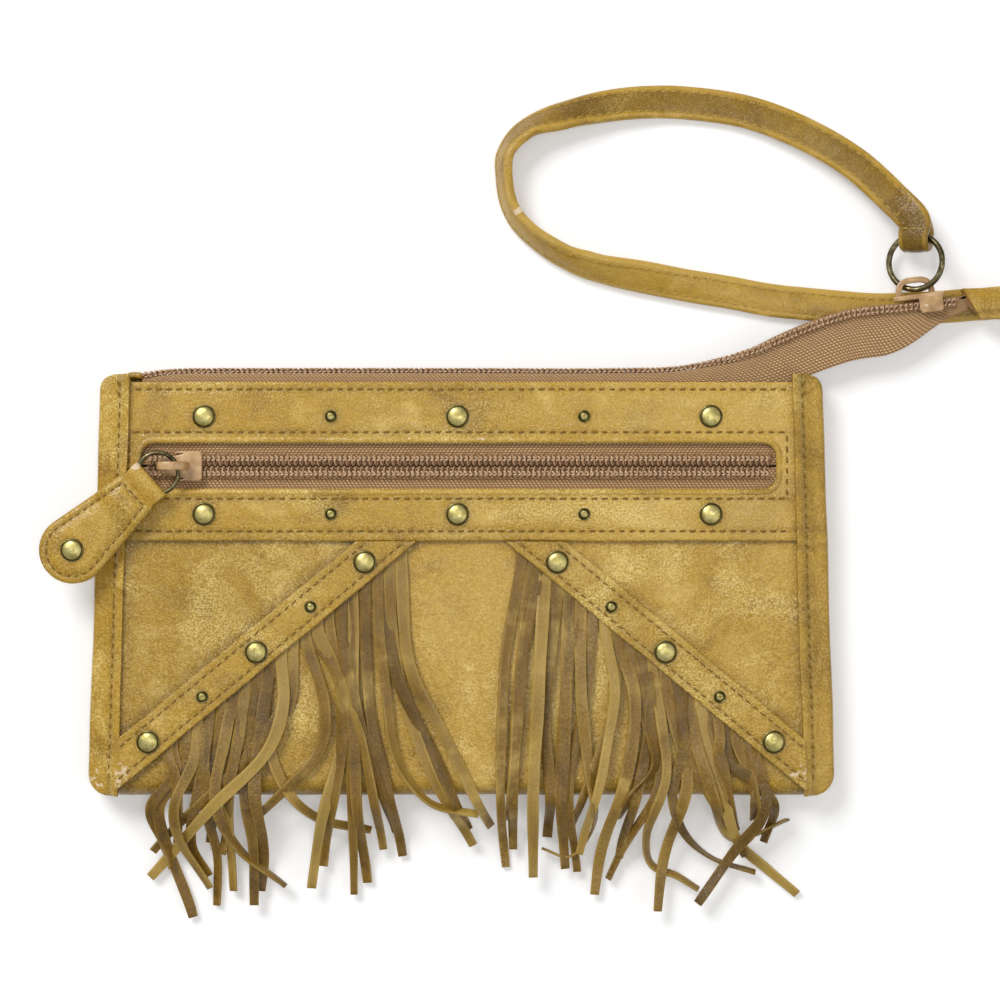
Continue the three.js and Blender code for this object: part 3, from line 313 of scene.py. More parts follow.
def thicken(obj, thickness, edge=0.25, offset=-1.0, segments=2):
    """Gives a sheet its leather's thickness and rounds its cut edges."""
    solid = obj.modifiers.new("Leather", "SOLIDIFY")
    solid.thickness = thickness * MM
    solid.offset = offset
    solid.use_even_offset = False
    if edge:
        bevel = obj.modifiers.new("Edge", "BEVEL")
        bevel.width = edge * MM
        bevel.segments = segments
        bevel.limit_method = "ANGLE"
        bevel.angle_limit = math.radians(62)
        bevel.use_clamp_overlap = True
    apply_modifiers(obj)
    return obj


def face_outwards(obj):
    pick(obj)
    bpy.ops.object.mode_set(mode="EDIT")
    bpy.ops.mesh.select_all(action="SELECT")
    bpy.ops.mesh.normals_make_consistent(inside=False)
    bpy.ops.object.mode_set(mode="OBJECT")
    return obj


def soften(obj, angle=50):
    pick(obj)
    bpy.ops.object.shade_smooth_by_angle(angle=math.radians(angle))
    return obj


def finish_piece(obj, body, material, replaced=(), angle=50):
    """Names what carries a piece, gives it its finish and hides the parts that it stands for."""
    soften(obj, angle)
    obj.data.materials.clear()
    obj.data.materials.append(material)
    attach(obj, body)
    if replaced:
        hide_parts(*replaced)
    clear_selection()
    return obj


def mesh_object(name, vertices, faces):
    """A mesh in millimetres, made into an object in metres."""
    mesh = bpy.data.meshes.new(name)
    mesh.from_pydata([tuple(Vector(v) * MM) for v in vertices], [], faces)
    mesh.update()
    obj = bpy.data.objects.new(name, mesh)
    bpy.context.scene.collection.objects.link(obj)
    return obj


def join_pieces(name, pieces):
    pick(pieces[0])
    for piece in pieces:
        piece.select_set(True)
    if len(pieces) > 1:
        bpy.ops.object.join()
    pieces[0].name = name
    pieces[0].data.name = name
    return pieces[0]


def frame_along(direction):
    """Axes at a point of a line: along it, sideways and up."""
    ahead = direction.normalized()
    sideways = Vector((0, 0, 1)).cross(ahead)
    if sideways.length < 1e-6:
        sideways = Vector((0, 1, 0)).cross(ahead)
    sideways.normalize()
    return ahead, sideways, ahead.cross(sideways)


def sweep(name, sections, closed=False):
    """Joins rings of points, one for each place on a line, into a tube with flat ends or a loop."""
    vertices = [corner for section in sections for corner in section]
    count = len(sections[0])
    faces = []
    rings = len(sections)
    for r in range(rings if closed else rings - 1):
        a = r * count
        b = ((r + 1) % rings) * count
        for i in range(count):
            j = (i + 1) % count
            faces.append((a + i, a + j, b + j, b + i))
    if not closed:
        faces.append(tuple(reversed(range(count))))
        faces.append(tuple(range((rings - 1) * count, rings * count)))
    return mesh_object(name, vertices, faces)


def tube(name, points, radius, sides):
    """A round wire along points."""
    sections = []
    angles = [2 * math.pi * k / sides for k in range(sides)]
    for i, point in enumerate(points):
        ahead = points[min(i + 1, len(points) - 1)] - points[max(i - 1, 0)]
        _, sideways, rise = frame_along(ahead)
        sections.append([point + (sideways * math.cos(a) + rise * math.sin(a)) * radius for a in angles])
    return face_outwards(sweep(name, sections))


class Route:
    """A smooth line through chosen points, of the centripetal kind, read by its length."""

    def __init__(self, points, samples=40):
        self.points = [Vector(p) for p in points]
        self.table = []
        count = len(self.points) - 1
        for i in range(count * samples + 1):
            self.table.append(self.raw(i / samples / count))
        self.lengths = [0.0]
        for a, b in zip(self.table, self.table[1:]):
            self.lengths.append(self.lengths[-1] + (b - a).length)
        self.length = self.lengths[-1]

    def raw(self, t):
        """The point at a share of the way counted in the chosen points."""
        count = len(self.points) - 1
        place = clamp(t) * count
        i = min(int(place), count - 1)
        part = place - i
        p1, p2 = self.points[i], self.points[i + 1]
        p0 = self.points[i - 1] if i > 0 else p1 * 2 - p2
        p3 = self.points[i + 2] if i + 2 <= count else p2 * 2 - p1
        d0, d1, d2 = ((b - a).length ** 0.5 for a, b in ((p0, p1), (p1, p2), (p2, p3)))
        t1 = ((p1 - p0) / d0 - (p2 - p0) / (d0 + d1) + (p2 - p1) / d1) * d1
        t2 = ((p2 - p1) / d1 - (p3 - p1) / (d1 + d2) + (p3 - p2) / d2) * d1
        cubic = p1 * 2 - p2 * 2 + t1 + t2
        square = p2 * 3 - p1 * 3 - t1 * 2 - t2
        return p1 + t1 * part + square * part ** 2 + cubic * part ** 3

    def tangent(self, t):
        return (self.raw(t + 0.0005) - self.raw(t - 0.0005)).normalized()

    def share_at(self, length):
        """The share of the chosen points at a length along the line."""
        low, high = 0, len(self.lengths) - 1
        while high - low > 1:
            middle = (low + high) // 2
            if self.lengths[middle] > length:
                high = middle
            else:
                low = middle
        run = self.lengths[high] - self.lengths[low]
        part = (length - self.lengths[low]) / run if run else 0.0
        return (low + clamp(part)) / (len(self.lengths) - 1)

    def at(self, u):
        return self.raw(self.share_at(u * self.length))

    def tangent_at(self, u):
        return self.tangent(self.share_at(u * self.length))


# Finishes
WAVE_UNIT = 0.314  # scale of a wave texture whose bands lie one unit apart


class Finish:
    """A node material under construction: short calls that add and join nodes."""

    def __init__(self, name):
        self.material = bpy.data.materials.new(name)
        self.material.use_nodes = True
        self.nodes = self.material.node_tree.nodes
        self.links = self.material.node_tree.links
        self.shader = self.nodes["Principled BSDF"]
        self.bumps = None

    def add(self, kind, **values):
        node = self.nodes.new(kind)
        for key, value in values.items():
            setattr(node, key, value)
        return node

    def join(self, source, target):
        self.links.new(source, target)

    def feed(self, value, socket):
        """Joins another socket to this one, or sets it to a plain number or colour."""
        if isinstance(value, bpy.types.NodeSocket):
            self.join(value, socket)
        elif isinstance(value, (int, float)):
            socket.default_value = value
        else:
            socket.default_value = (*value, 1)

    def place(self, output="Object", scale=(1, 1, 1), turn=0.0):
        coordinates = self.add("ShaderNodeTexCoord")
        mapping = self.add("ShaderNodeMapping")
        mapping.inputs["Scale"].default_value = scale
        mapping.inputs["Rotation"].default_value = (0, 0, turn)
        self.join(coordinates.outputs[output], mapping.inputs["Vector"])
        return mapping.outputs["Vector"]

    def noise(self, vector, size, detail=3.0, rough=0.5, warp=0.0, kind="FBM"):
        """Noise whose hills are about size millimetres apart, from 0 to 1."""
        node = self.add("ShaderNodeTexNoise", noise_type=kind)
        node.inputs["Scale"].default_value = 1 / (size * MM)
        node.inputs["Detail"].default_value = detail
        node.inputs["Roughness"].default_value = rough
        node.inputs["Distortion"].default_value = warp
        self.join(vector, node.inputs["Vector"])
        return node.outputs["Fac"]

    def cells(self, vector, size, feature="F1"):
        node = self.add("ShaderNodeTexVoronoi", feature=feature)
        node.inputs["Scale"].default_value = 1 / (size * MM)
        self.join(vector, node.inputs["Vector"])
        return node.outputs["Distance"]

    def threads(self, vector, direction, pitch, uneven=0.0, detail=None):
        """Parallel threads of a cloth, their middles one pitch apart in millimetres."""
        node = self.add("ShaderNodeTexWave", bands_direction=direction)
        node.inputs["Scale"].default_value = WAVE_UNIT / (pitch * MM)
        node.inputs["Distortion"].default_value = uneven
        if detail is not None:
            node.inputs["Detail"].default_value = detail
        self.join(vector, node.inputs["Vector"])
        return node.outputs["Fac"]

    def ramp(self, factor, stops):
        node = self.add("ShaderNodeValToRGB")
        ramp = node.color_ramp
        while len(ramp.elements) < len(stops):
            ramp.elements.new(0.5)
        for element, (position, colour) in zip(ramp.elements, stops):
            element.position = position
            element.color = (*colour, 1) if len(colour) == 3 else colour
        self.join(factor, node.inputs["Fac"])
        return node.outputs["Color"]

    def fit(self, factor, low, high, out_low=0.0, out_high=1.0):
        node = self.add("ShaderNodeMapRange")
        ends = {"From Min": low, "From Max": high, "To Min": out_low, "To Max": out_high}
        for name, value in ends.items():
            node.inputs[name].default_value = value
        self.join(factor, node.inputs["Value"])
        return node.outputs["Result"]

    def blend(self, factor, below, above, kind="MIX"):
        """Mixes two colours; each may be a socket or a plain colour."""
        node = self.add("ShaderNodeMix", data_type="RGBA", blend_type=kind)
        sockets = [s for s in node.inputs if s.enabled]
        for socket, value in zip(sockets, (factor, below, above)):
            self.feed(value, socket)
        return [s for s in node.outputs if s.enabled][0]

    def sum(self, kind, first, second):
        node = self.add("ShaderNodeMath", operation=kind)
        for socket, value in zip(node.inputs, (first, second)):
            self.feed(value, socket)
        return node.outputs[0]

    def attribute(self, name):
        return self.add("ShaderNodeAttribute", attribute_name=name).outputs["Fac"]

    def emboss(self, height, depth, strength=1.0):
        """Adds a relief of the given depth in millimetres to those there already."""
        node = self.add("ShaderNodeBump")
        node.inputs["Strength"].default_value = strength
        node.inputs["Distance"].default_value = depth * MM
        self.join(height, node.inputs["Height"])
        if self.bumps:
            self.join(self.bumps, node.inputs["Normal"])
        self.bumps = node.outputs["Normal"]

    def done(self, colour, rough, **fixed):
        self.feed(colour, self.shader.inputs["Base Color"])
        self.feed(rough, self.shader.inputs["Roughness"])
        if self.bumps:
            self.join(self.bumps, self.shader.inputs["Normal"])
        for key, value in fixed.items():
            self.shader.inputs[key.replace("_", " ")].default_value = value
        return self.material


SPECK_SHADE = (0.68, 0.58, 0.40)
BARE_LEATHER_AND_GLINT = (0.80, 0.62, 0.40)


def waxed_leather(name, base, dark, light, gloss=0.27, grain=1.0, streak=(1, 1, 1), flecked=1.0):
    """Waxed smooth leather: cloudy colour, fine specks, soft creases and rubbed places, with clouds of
    painted sheen and fine painted sparkle highlights.

    The piece's tone runs from -1, darker, to 1, lighter, and carries painted shade and highlights
    as well as the leather's own tone. Its layer of rubbed places, which also holds a painted
    highlight on the pull's fold, runs from 0 to 1. Gloss is the middle of its roughness, streak
    stretches the marks, and flecked is the strength of its specks and of the painted sparkle.
    """
    f = Finish(name)
    body = f.place()
    drawn = f.place(scale=streak)
    clouds = f.noise(body, 17, detail=5, rough=0.62, warp=0.4)
    colour = f.ramp(clouds, [(0.34, dark), (0.46, base), (0.56, base), (0.70, light)])
    mottle = f.noise(drawn, 2.4, detail=4, rough=0.7)
    colour = f.blend(f.fit(mottle, 0.42, 0.75, 0.0, 0.6), colour, dark)
    # Low tone mixes in painted shade and high tone painted highlights, as set for each piece, along with
    # the leather's own darker and lighter places.
    tone = f.attribute("tone")
    deep_tone_and_shade = tuple(0.52 * c for c in dark)
    colour = f.blend(f.fit(tone, 0.0, -1.0, 0.0, 0.85), colour, deep_tone_and_shade)
    colour = f.blend(f.fit(tone, 0.0, 1.0, 0.0, 0.8), colour, light)
    # Pale fine flecks are painted sparkle highlights; the dark specks after them are the grain.
    fine = f.noise(body, 0.5, detail=2, rough=0.7)
    pale = tuple(min(1.3 * c + 0.10, 0.9) for c in light)
    colour = f.blend(f.fit(fine, 0.50, 0.62, 0.0, 0.26 * flecked), colour, pale)
    specks = f.fit(fine, 0.48, 0.38, 0.0, 0.40 * flecked)
    colour = f.blend(specks, colour, SPECK_SHADE, kind="MULTIPLY")
    # Painted sheen: pale clouds, filled with fine painted sparkle, stand in for glints of the lamps; the
    # leather is also glossier there.
    painted_sheen = f.fit(f.noise(drawn, 23, detail=4, rough=0.6, warp=0.8), 0.53, 0.70)
    painted_sparkle = f.noise(body, 0.5, detail=3, rough=0.7)
    painted_sparkle = f.fit(painted_sparkle, 0.46, 0.58, 0.1 * flecked, 0.75 * flecked)
    colour = f.blend(f.sum("MULTIPLY", painted_sheen, painted_sparkle), colour, pale)
    # Rubbed places take the bare leather's colour; on the pull's fold this layer also holds a painted
    # highlight.
    worn_noise = f.noise(body, 1.7, detail=5, rough=0.7)
    wear_and_glint_amount = f.fit(f.sum("ADD", f.attribute("wear_and_glint"), worn_noise), 1.04, 1.12)
    colour = f.blend(wear_and_glint_amount, colour, BARE_LEATHER_AND_GLINT)
    rough = f.fit(f.noise(body, 5, detail=3), 0.3, 0.7, gloss - 0.05, gloss + 0.09)
    rough = f.sum("SUBTRACT", rough, f.sum("MULTIPLY", painted_sheen, 0.06))
    rough = f.sum("MAXIMUM", rough, f.sum("MULTIPLY", wear_and_glint_amount, 0.78))
    f.emboss(f.noise(body, 7, detail=4, warp=1.2, rough=0.55), 0.55 * grain, 0.5)
    f.emboss(f.noise(drawn, 2.2, detail=4, warp=0.8), 0.16 * grain, 0.6)
    f.emboss(f.cells(body, 0.62), 0.13 * grain, 0.7)
    return f.done(colour, rough, Specular_IOR_Level=0.45)


def thread(name, dark, light, rough, twist=0.35, detail=1, depth=0.05, **fixed):
    """Sewing thread, whose twist shows as short dark and light places with a faint relief."""
    f = Finish(name)
    turns = f.noise(f.place(), twist, detail=detail)
    colour = f.ramp(turns, [(0.3, dark), (0.7, light)])
    f.emboss(turns, depth)
    return f.done(colour, rough, **fixed)


def woven_tape():
    """Twill zip tape, its ribs slanting across the tape's own length."""
    f = Finish("Zip tape")
    cloth = f.place("UV")
    slanted = f.place("UV", turn=math.radians(32))
    rib = f.threads(slanted, "X", 0.85, uneven=0.9, detail=1)
    knit = f.sum("MULTIPLY", rib, f.threads(cloth, "Y", 0.68, uneven=0.5))
    uneven = f.noise(cloth, 3.0, detail=3)
    colour = f.ramp(knit, [(0.04, (0.285, 0.152, 0.062)), (0.38, (0.565, 0.345, 0.160)),
                           (0.8, (0.900, 0.680, 0.400))])
    colour = f.blend(f.fit(uneven, 0.3, 0.7, 0.0, 0.35), colour, (0.360, 0.205, 0.105))
    f.emboss(knit, 0.2, 0.9)
    return f.done(colour, 0.85, Specular_IOR_Level=0.25)


def coil_plastic():
    f = Finish("Zip coil")
    body = f.place()
    shade = f.noise(body, 1.6, detail=2)
    colour = f.ramp(shade, [(0.3, (0.270, 0.142, 0.064)), (0.7, (0.470, 0.275, 0.140))])
    f.emboss(f.noise(body, 0.3, detail=1), 0.02)
    return f.done(colour, 0.36, Specular_IOR_Level=0.55)


def rosy_enamel():
    """Paint on the sliders: rosy tan, rubbed darker and greyer where it is handled."""
    f = Finish("Rosy enamel")
    body = f.place()
    cloud = f.noise(body, 2.6, detail=4)
    colour = f.ramp(cloud, [(0.32, (0.390, 0.220, 0.086)), (0.6, (0.590, 0.365, 0.165)),
                            (0.8, (0.740, 0.510, 0.280))])
    rubbed = f.fit(f.sum("ADD", f.noise(body, 0.7, detail=3), f.attribute("wear_and_glint")), 0.92, 1.15)
    colour = f.blend(rubbed, colour, (0.20, 0.14, 0.06))
    f.emboss(f.noise(body, 0.5, detail=2), 0.02)
    rough = f.fit(cloud, 0.3, 0.7, 0.30, 0.42)
    return f.done(colour, rough, Specular_IOR_Level=0.55, Coat_Weight=0.25)


def antique_brass():
    """Rivet brass, bright on the dome and black where tone is low, in the rim's groove."""
    f = Finish("Antique brass")
    body = f.place()
    tarnish = f.noise(body, 1.3, detail=5, rough=0.65)
    colour = f.ramp(tarnish, [(0.30, (0.330, 0.265, 0.070)), (0.48, (0.600, 0.510, 0.180)),
                              (0.72, (0.800, 0.715, 0.340))])
    black = f.fit(f.attribute("tone"), 0.0, -1.0, 0.0, 0.92)
    colour = f.blend(black, colour, (0.055, 0.042, 0.010))
    rough = f.fit(tarnish, 0.3, 0.7, 0.46, 0.34)
    f.emboss(f.noise(body, 0.45, detail=3), 0.03)
    return f.done(colour, rough, Metallic=1.0)


def dark_brass():
    """Ring wire: nearly black brass, rubbed bright in patches."""
    f = Finish("Dark brass")
    body = f.place()
    tarnish = f.noise(body, 2.8, detail=5, rough=0.7)
    colour = f.ramp(tarnish, [(0.34, (0.040, 0.032, 0.016)), (0.54, (0.160, 0.132, 0.066)),
                              (0.74, (0.500, 0.440, 0.260))])
    f.emboss(f.noise(body, 0.5, detail=3), 0.03)
    return f.done(colour, f.fit(tarnish, 0.3, 0.7, 0.38, 0.26), Metallic=1.0)


def lining_cloth():
    f = Finish("Lining cloth")
    cloth = f.place("UV")
    weave = f.sum("ADD", f.threads(cloth, "X", 0.5), f.threads(cloth, "Y", 0.5))
    shades = [(0.2, (0.075, 0.045, 0.022)), (0.8, (0.165, 0.105, 0.055))]
    colour = f.ramp(f.fit(weave, 0, 2), shades)
    f.emboss(weave, 0.06)
    return f.done(colour, 0.85, Sheen_Weight=0.2)


FINISHES = {}


def finishes():
    """All the finishes, made once."""
    if FINISHES:
        return FINISHES
    colours = bpy.context.scene.wristlet_colours
    tan = (colours.leather, colours.leather_dark, colours.leather_light)
    FINISHES["tan"] = waxed_leather("Tan leather", *tan)
    FINISHES["band"] = waxed_leather("Band leather", *tan, gloss=0.25, streak=(0.35, 1, 1))
    FINISHES["strap"] = waxed_leather(
        "Strap leather", colours.strap, colours.strap_dark, colours.strap_light,
        gloss=0.30, grain=0.8, flecked=0.45)
    FINISHES["fringe"] = waxed_leather(
        "Fringe leather", colours.fringe, colours.fringe_dark, colours.fringe_light,
        gloss=0.36, grain=0.7, streak=(1, 0.25, 1), flecked=0.25)
    FINISHES["thread"] = thread(
        "Stitch thread", (0.170, 0.092, 0.012), (0.310, 0.190, 0.036), 0.75, Specular_IOR_Level=0.2)
    FINISHES["strap_thread"] = thread(
        "Strap thread", (0.360, 0.220, 0.030), (0.600, 0.410, 0.110), 0.7, Specular_IOR_Level=0.25)
    FINISHES["tape"] = woven_tape()
    FINISHES["coil"] = coil_plastic()
    FINISHES["chain_thread"] = thread(
        "Chain thread", (0.560, 0.350, 0.190), (0.820, 0.600, 0.390), 0.5,
        twist=0.5, detail=2, depth=0.03)
    FINISHES["enamel"] = rosy_enamel()
    FINISHES["brass"] = antique_brass()
    FINISHES["ring"] = dark_brass()
    FINISHES["lining"] = lining_cloth()
    return FINISHES


# Stitches
def stitch_form():
    """One thread stitch lying along X, its ends bent down into the leather, in millimetres."""
    clear_selection()
    bpy.ops.mesh.primitive_uv_sphere_add(segments=8, ring_count=6, radius=1)
    obj = bpy.context.object
    form_vertices = []
    for vertex in obj.data.vertices:
        x, y, z = vertex.co.z, vertex.co.y, vertex.co.x
        flat = math.copysign(abs(x) ** 0.6, x)
        form_vertices.append(Vector((flat * 0.5, y * 0.5, z * 0.5 - 0.35 * flat ** 4)))
    form_faces = [tuple(face.vertices) for face in obj.data.polygons]
    mesh = obj.data
    bpy.data.objects.remove(obj)
    bpy.data.meshes.remove(mesh)
    return form_vertices, form_faces


STITCH_SLANT = 0.08


def stitch_run(line, surface, normal=None, pitch=2.5, length=1.8, width=0.62, seed=1):
    """Places for stitches on a line given by points: centre, direction, face, length and width."""
    chance = Random(seed)
    points = [Vector(p) for p in line]
    lengths = [0.0]
    for a, b in zip(points, points[1:]):
        lengths.append(lengths[-1] + (b - a).length)
    total = lengths[-1]
    count = max(int(round(total / pitch)), 1)
    places = []
    for k in range(count):
        at = (k + 0.5) * total / count
        i = max(j for j in range(len(lengths) - 1) if lengths[j] <= at)
        part = (at - lengths[i]) / max(lengths[i + 1] - lengths[i], 1e-9)
        centre = points[i].lerp(points[i + 1], part)
        ahead = (points[i + 1] - points[i]).normalized()
        face = Vector((0, 0, 1))
        if surface:
            centre.z = surface(centre.x, centre.y)
            beyond = centre + ahead * 0.8
            beyond.z = surface(beyond.x, beyond.y)
            ahead = (beyond - centre).normalized()
        if normal:
            face = normal(at / total)
        turn = STITCH_SLANT + chance.uniform(-0.05, 0.05)
        sideways = face.cross(ahead).normalized()
        ahead = (ahead + sideways * turn).normalized()
        places.append((centre, ahead, face, length * chance.uniform(0.9, 1.08), width))
    return places


def thread_mesh(name, places):
    """One thread stitch for each place, which is its middle and its three scaled axes."""
    form_vertices, form_faces = stitch_form()
    vertices, faces = [], []
    for centre, ahead, sideways, rise in places:
        start = len(vertices)
        vertices += [centre + ahead * p.x + sideways * p.y + rise * p.z for p in form_vertices]
        faces += [tuple(start + i for i in corners) for corners in form_faces]
    return face_outwards(mesh_object(name, vertices, faces))


def stitches(name, places, lift):
    """All the stitches of one seam as one piece."""
    axes = []
    for centre, ahead, face, length, width in places:
        sideways = face.cross(ahead).normalized()
        rise = ahead.cross(sideways)
        axes.append((centre + rise * lift, ahead * length, sideways * width, rise * (0.85 * width)))
    return thread_mesh(name, axes)


def straight(start, end, steps):
    shares = [i / steps for i in range(steps + 1)]
    return [(mix(start[0], end[0], t), mix(start[1], end[1], t), 0.0) for t in shares]


# Body shell
FOLD_MIDDLE = FRONT_TOP / 2
FOLD_Y = FOLD_MIDDLE - MOUTH_Y
FRONT_EDGE_Y = BAND_BOTTOM_Y + 3.6
SHELL_INSET = BINDING_LEATHER + SEAM_GAP
# Shares of the shell's rows at which the bottom fold starts and ends
FOLD_START, FOLD_END = 0.22, 0.42


# Outer face of the shell from the back's mouth edge, round the bottom, to the front's edge
SHELL_LEGS = (
    (FOLD_START, (MOUTH_Y, 0.0), (FOLD_Y, 0.0), 0),
    (FOLD_END, (FOLD_Y, 0.0), (FOLD_Y, FRONT_TOP), -FOLD_MIDDLE),
    (1, (FOLD_Y, FRONT_TOP), (FRONT_EDGE_Y, FRONT_TOP), 0),
)


def shell_place(u, v):
    y, z = profile_place(v, SHELL_LEGS)
    share = 2 * u - 1
    spread = squared(share, 0.85)
    x = spread * (half_width(y) - SHELL_INSET)
    x -= math.copysign(corner_inset(y) * abs(spread) ** 8, spread)
    level = drape(x, y, z)
    if v > FOLD_END:
        level = mix(level, front_face(x, y), smooth(FOLD_END, 0.47, v))
    elif v > FOLD_START:
        around = math.sin(math.pi * (v - FOLD_START) / (FOLD_END - FOLD_START))
        y += 0.25 * around * relief(x, 0, 17, 3.0)
        level += 0.12 * around * relief(x, z, 9, 6.0)
    elif v > 0.0:
        inside = smooth(FOLD_START, 0.15, v) * smooth(0.0, 0.05, v)
        level += 0.12 * inside * (relief(x, y, 30, 9.0) + 0.6)
    return x, y, max(level, 0.02)


def shell_tone_and_shading(p):
    """Painted shade beside the straps, by the bindings, round the bottom and under the band's edge;
    painted highlights on the swells and the middle of the front, and darker towards the left.
    """
    across = diagonal_across(p.x, p.y)
    front = p.z > FOLD_MIDDLE
    beside = bump_at(min(abs(across), abs(across - DIAGONAL_WIDTH)), 2.2) if front else 0.0
    bottom = smooth(3.5, 0.0, p.y + MOUTH_Y)
    edge = smooth(-4, 0, abs(p.x) - binding_edge(p.y))
    band_edge_shadow = smooth(2.2, 0.0, BAND_BOTTOM_Y - p.y) if front else 0.0
    # Painted highlight on the swells, darker towards the left, and a painted pool of light on the middle
    # of the front.
    lighter = 0.35 * smooth(0.1, 0.5, relief(p.x, p.y, 24, 1.5))
    lighter -= 0.22 * smooth(10, -60, p.x)
    lighter += 0.5 * bump_at(math.hypot(p.x - 12, p.y + 6), 32) if front else 0.0
    return lighter - 0.5 * beside - 0.45 * bottom - 0.35 * edge - 0.55 * band_edge_shadow


def shell_wear(p):
    corner = bump_at(math.hypot(p.x + 90, p.y + 49), 7)
    bottom = 0.28 * smooth(1.6, 0.3, p.y + MOUTH_Y) * smooth(-0.1, 0.4, relief(p.x, p.z, 15, 2.0))
    return 0.42 * corner + bottom


def make_body_shell(columns):
    shell = blank("body_leather", columns, int(columns * 0.62))
    lay_out(shell, shell_place, 2 * BOTTOM_HALF_WIDTH, BODY_HEIGHT * 1.7)
    paint(shell, "tone", shell_tone_and_shading)
    paint(shell, "wear_and_glint", shell_wear)
    face_out_from(shell, Vector((0, 0, FOLD_MIDDLE)))
    thicken(shell, LEATHER, edge=0.3)
    return finish_piece(shell, "bag", finishes()["tan"], ["body_shell"], 60)


def face_out_from(obj, centre):
    """Turns a sheet's faces so that they point away from a point inside it, in millimetres."""
    mesh = obj.data
    total = sum((f.center / MM - centre).dot(f.normal) * f.area for f in mesh.polygons)
    if total < 0:
        mesh.flip_normals()
    return obj


# Side bindings
BINDING_STITCH = 2.5
TOP_ROUNDING = 4.0
# Shares of a binding's columns at which its fold starts and ends, and of its width that lie flat
BINDING_TURN, BINDING_BACK = 0.44, 0.60
BINDING_FLAT = 0.90


def binding_level(share, y):
    level = drape(binding_edge(y) + share * BINDING_WIDTH, y, stack_top(y))
    return level + BINDING_LEATHER + 0.25


def binding_section(w, y):
    """Outer face of a binding: share of its width from the inner edge, and its level."""
    if w < BINDING_TURN:
        share = w / BINDING_TURN * BINDING_FLAT
        return share, binding_level(share, y)
    if w < BINDING_BACK:
        angle = math.pi * (w - BINDING_TURN) / (BINDING_BACK - BINDING_TURN)
        share = BINDING_FLAT + (1 - BINDING_FLAT) * math.sin(angle)
        return share, mix(binding_level(0.88, y), 0.0, (1 - math.cos(angle)) / 2)
    return mix(BINDING_FLAT, 0.0, (w - BINDING_BACK) / (1 - BINDING_BACK)), 0.0


def binding_place(side):
    def place(u, v):
        y = mix(0.15 - MOUTH_Y, MOUTH_Y + BINDING_RISE, v)
        share, level = binding_section(u, y)
        x = binding_edge(y) + share * BINDING_WIDTH - corner_inset(y) * share
        rounded = max(y - (MOUTH_Y + BINDING_RISE - TOP_ROUNDING), 0.0)
        chord = math.sqrt(max(TOP_ROUNDING ** 2 - rounded ** 2, 0.0))
        x -= (TOP_ROUNDING - chord) * share ** 2
        if u < 0.5:
            ripple = 0.20 * relief(x * side, y, 14, 5.0) + 0.10 * relief(x * side, y, 4, 7.0)
            groove = 0.26 * bump_at((share * BINDING_WIDTH) - BINDING_STITCH, 0.6)
            swell = 0.45 * math.sin(math.pi * clamp((share * BINDING_WIDTH - 3.0) / 5.2))
            level += (ripple + swell) * smooth(0.95, 0.75, share) - groove
            level += 0.35 * bump_at(y - MOUTH_Y, 1.2) * (1 - share)
        x += 0.35 * relief(5 * side, y, 21, 3.0) * share
        x += 0.30 * relief(5 * side, y, 13, 9.0) * (1 - share) * smooth(0.4, 0.2, u)
        return side * x, y, max(level, 0.02)
    return place


def binding_tone_and_shading(p):
    share = (abs(p.x) - binding_edge(p.y)) / BINDING_WIDTH
    # Painted shade in the stitch groove, towards the rolled outer edge and along the inner edge; darker
    # towards the top end.
    seam = bump_at(share * BINDING_WIDTH - BINDING_STITCH, 0.7)
    edge = smooth(0.8, 1.02, share)
    ends = 0.25 * (smooth(5, 0, MOUTH_Y - p.y) + smooth(0.05, -0.04, share))
    return 0.25 * relief(p.x, p.y, 11, 3) - 0.45 * seam - 0.35 * edge - ends


def binding_wear(p):
    corner = bump_at(math.hypot(p.x + 95, p.y + 50), 6)
    right = 0.35 * bump_at(math.hypot(p.x - 96, p.y + 51), 5)
    top = 0.25 * bump_at(math.hypot(abs(p.x) - 88, p.y - 54.5), 3)
    return 0.56 * corner + right + top + 0.12 * smooth(0.2, 0.6, relief(p.x, p.y, 8, 12))


def make_binding(side, columns, rows):
    word = hand(side)
    binding = blank(f"{word}_binding_leather", columns, rows)
    lay_out(binding, binding_place(side), 2.4 * BINDING_WIDTH, BODY_HEIGHT)
    paint(binding, "tone", binding_tone_and_shading)
    paint(binding, "wear_and_glint", binding_wear)
    face_out_from(binding, Vector((side * (TOP_HALF_WIDTH - 3), 0, 4)))
    thicken(binding, BINDING_LEATHER, edge=0.3)
    return finish_piece(binding, "bag", finishes()["tan"], [f"{word}_binding"], 60)


def binding_stitches(side):
    def face(x, y):
        share = (abs(x) - binding_edge(y)) / BINDING_WIDTH
        return binding_level(share, y) - 0.16

    line = []
    for i in range(40):
        y = mix(4.0 - MOUTH_Y, MOUTH_Y - 0.8, i / 39)
        line.append((side * (binding_edge(y) + BINDING_STITCH - corner_inset(y)), y, 0.0))
    places = stitch_run(line, face, pitch=2.6, length=1.45, width=0.36, seed=3 + side)
    ahead = Vector((0.5 * side, 1, 0)).normalized()
    x = side * (binding_edge(MOUTH_Y) + BINDING_STITCH + 0.5)
    for y in (MOUTH_Y - 1.8, MOUTH_Y - 4.4):
        places.append((Vector((x, y, face(x, y))), ahead, Vector((0, 0, 1)), 2.0, 0.5))
    return places


# Band across the front
def band_place(u, v):
    y = mix(BAND_BOTTOM_Y, BAND_TOP_Y, v)
    y += 0.25 * relief(u * 190, 0, 24, 5.0) * (1 - v)
    x = (2 * u - 1) * (half_width(y) - SHELL_INSET)
    return x, y, band_face(x, y)


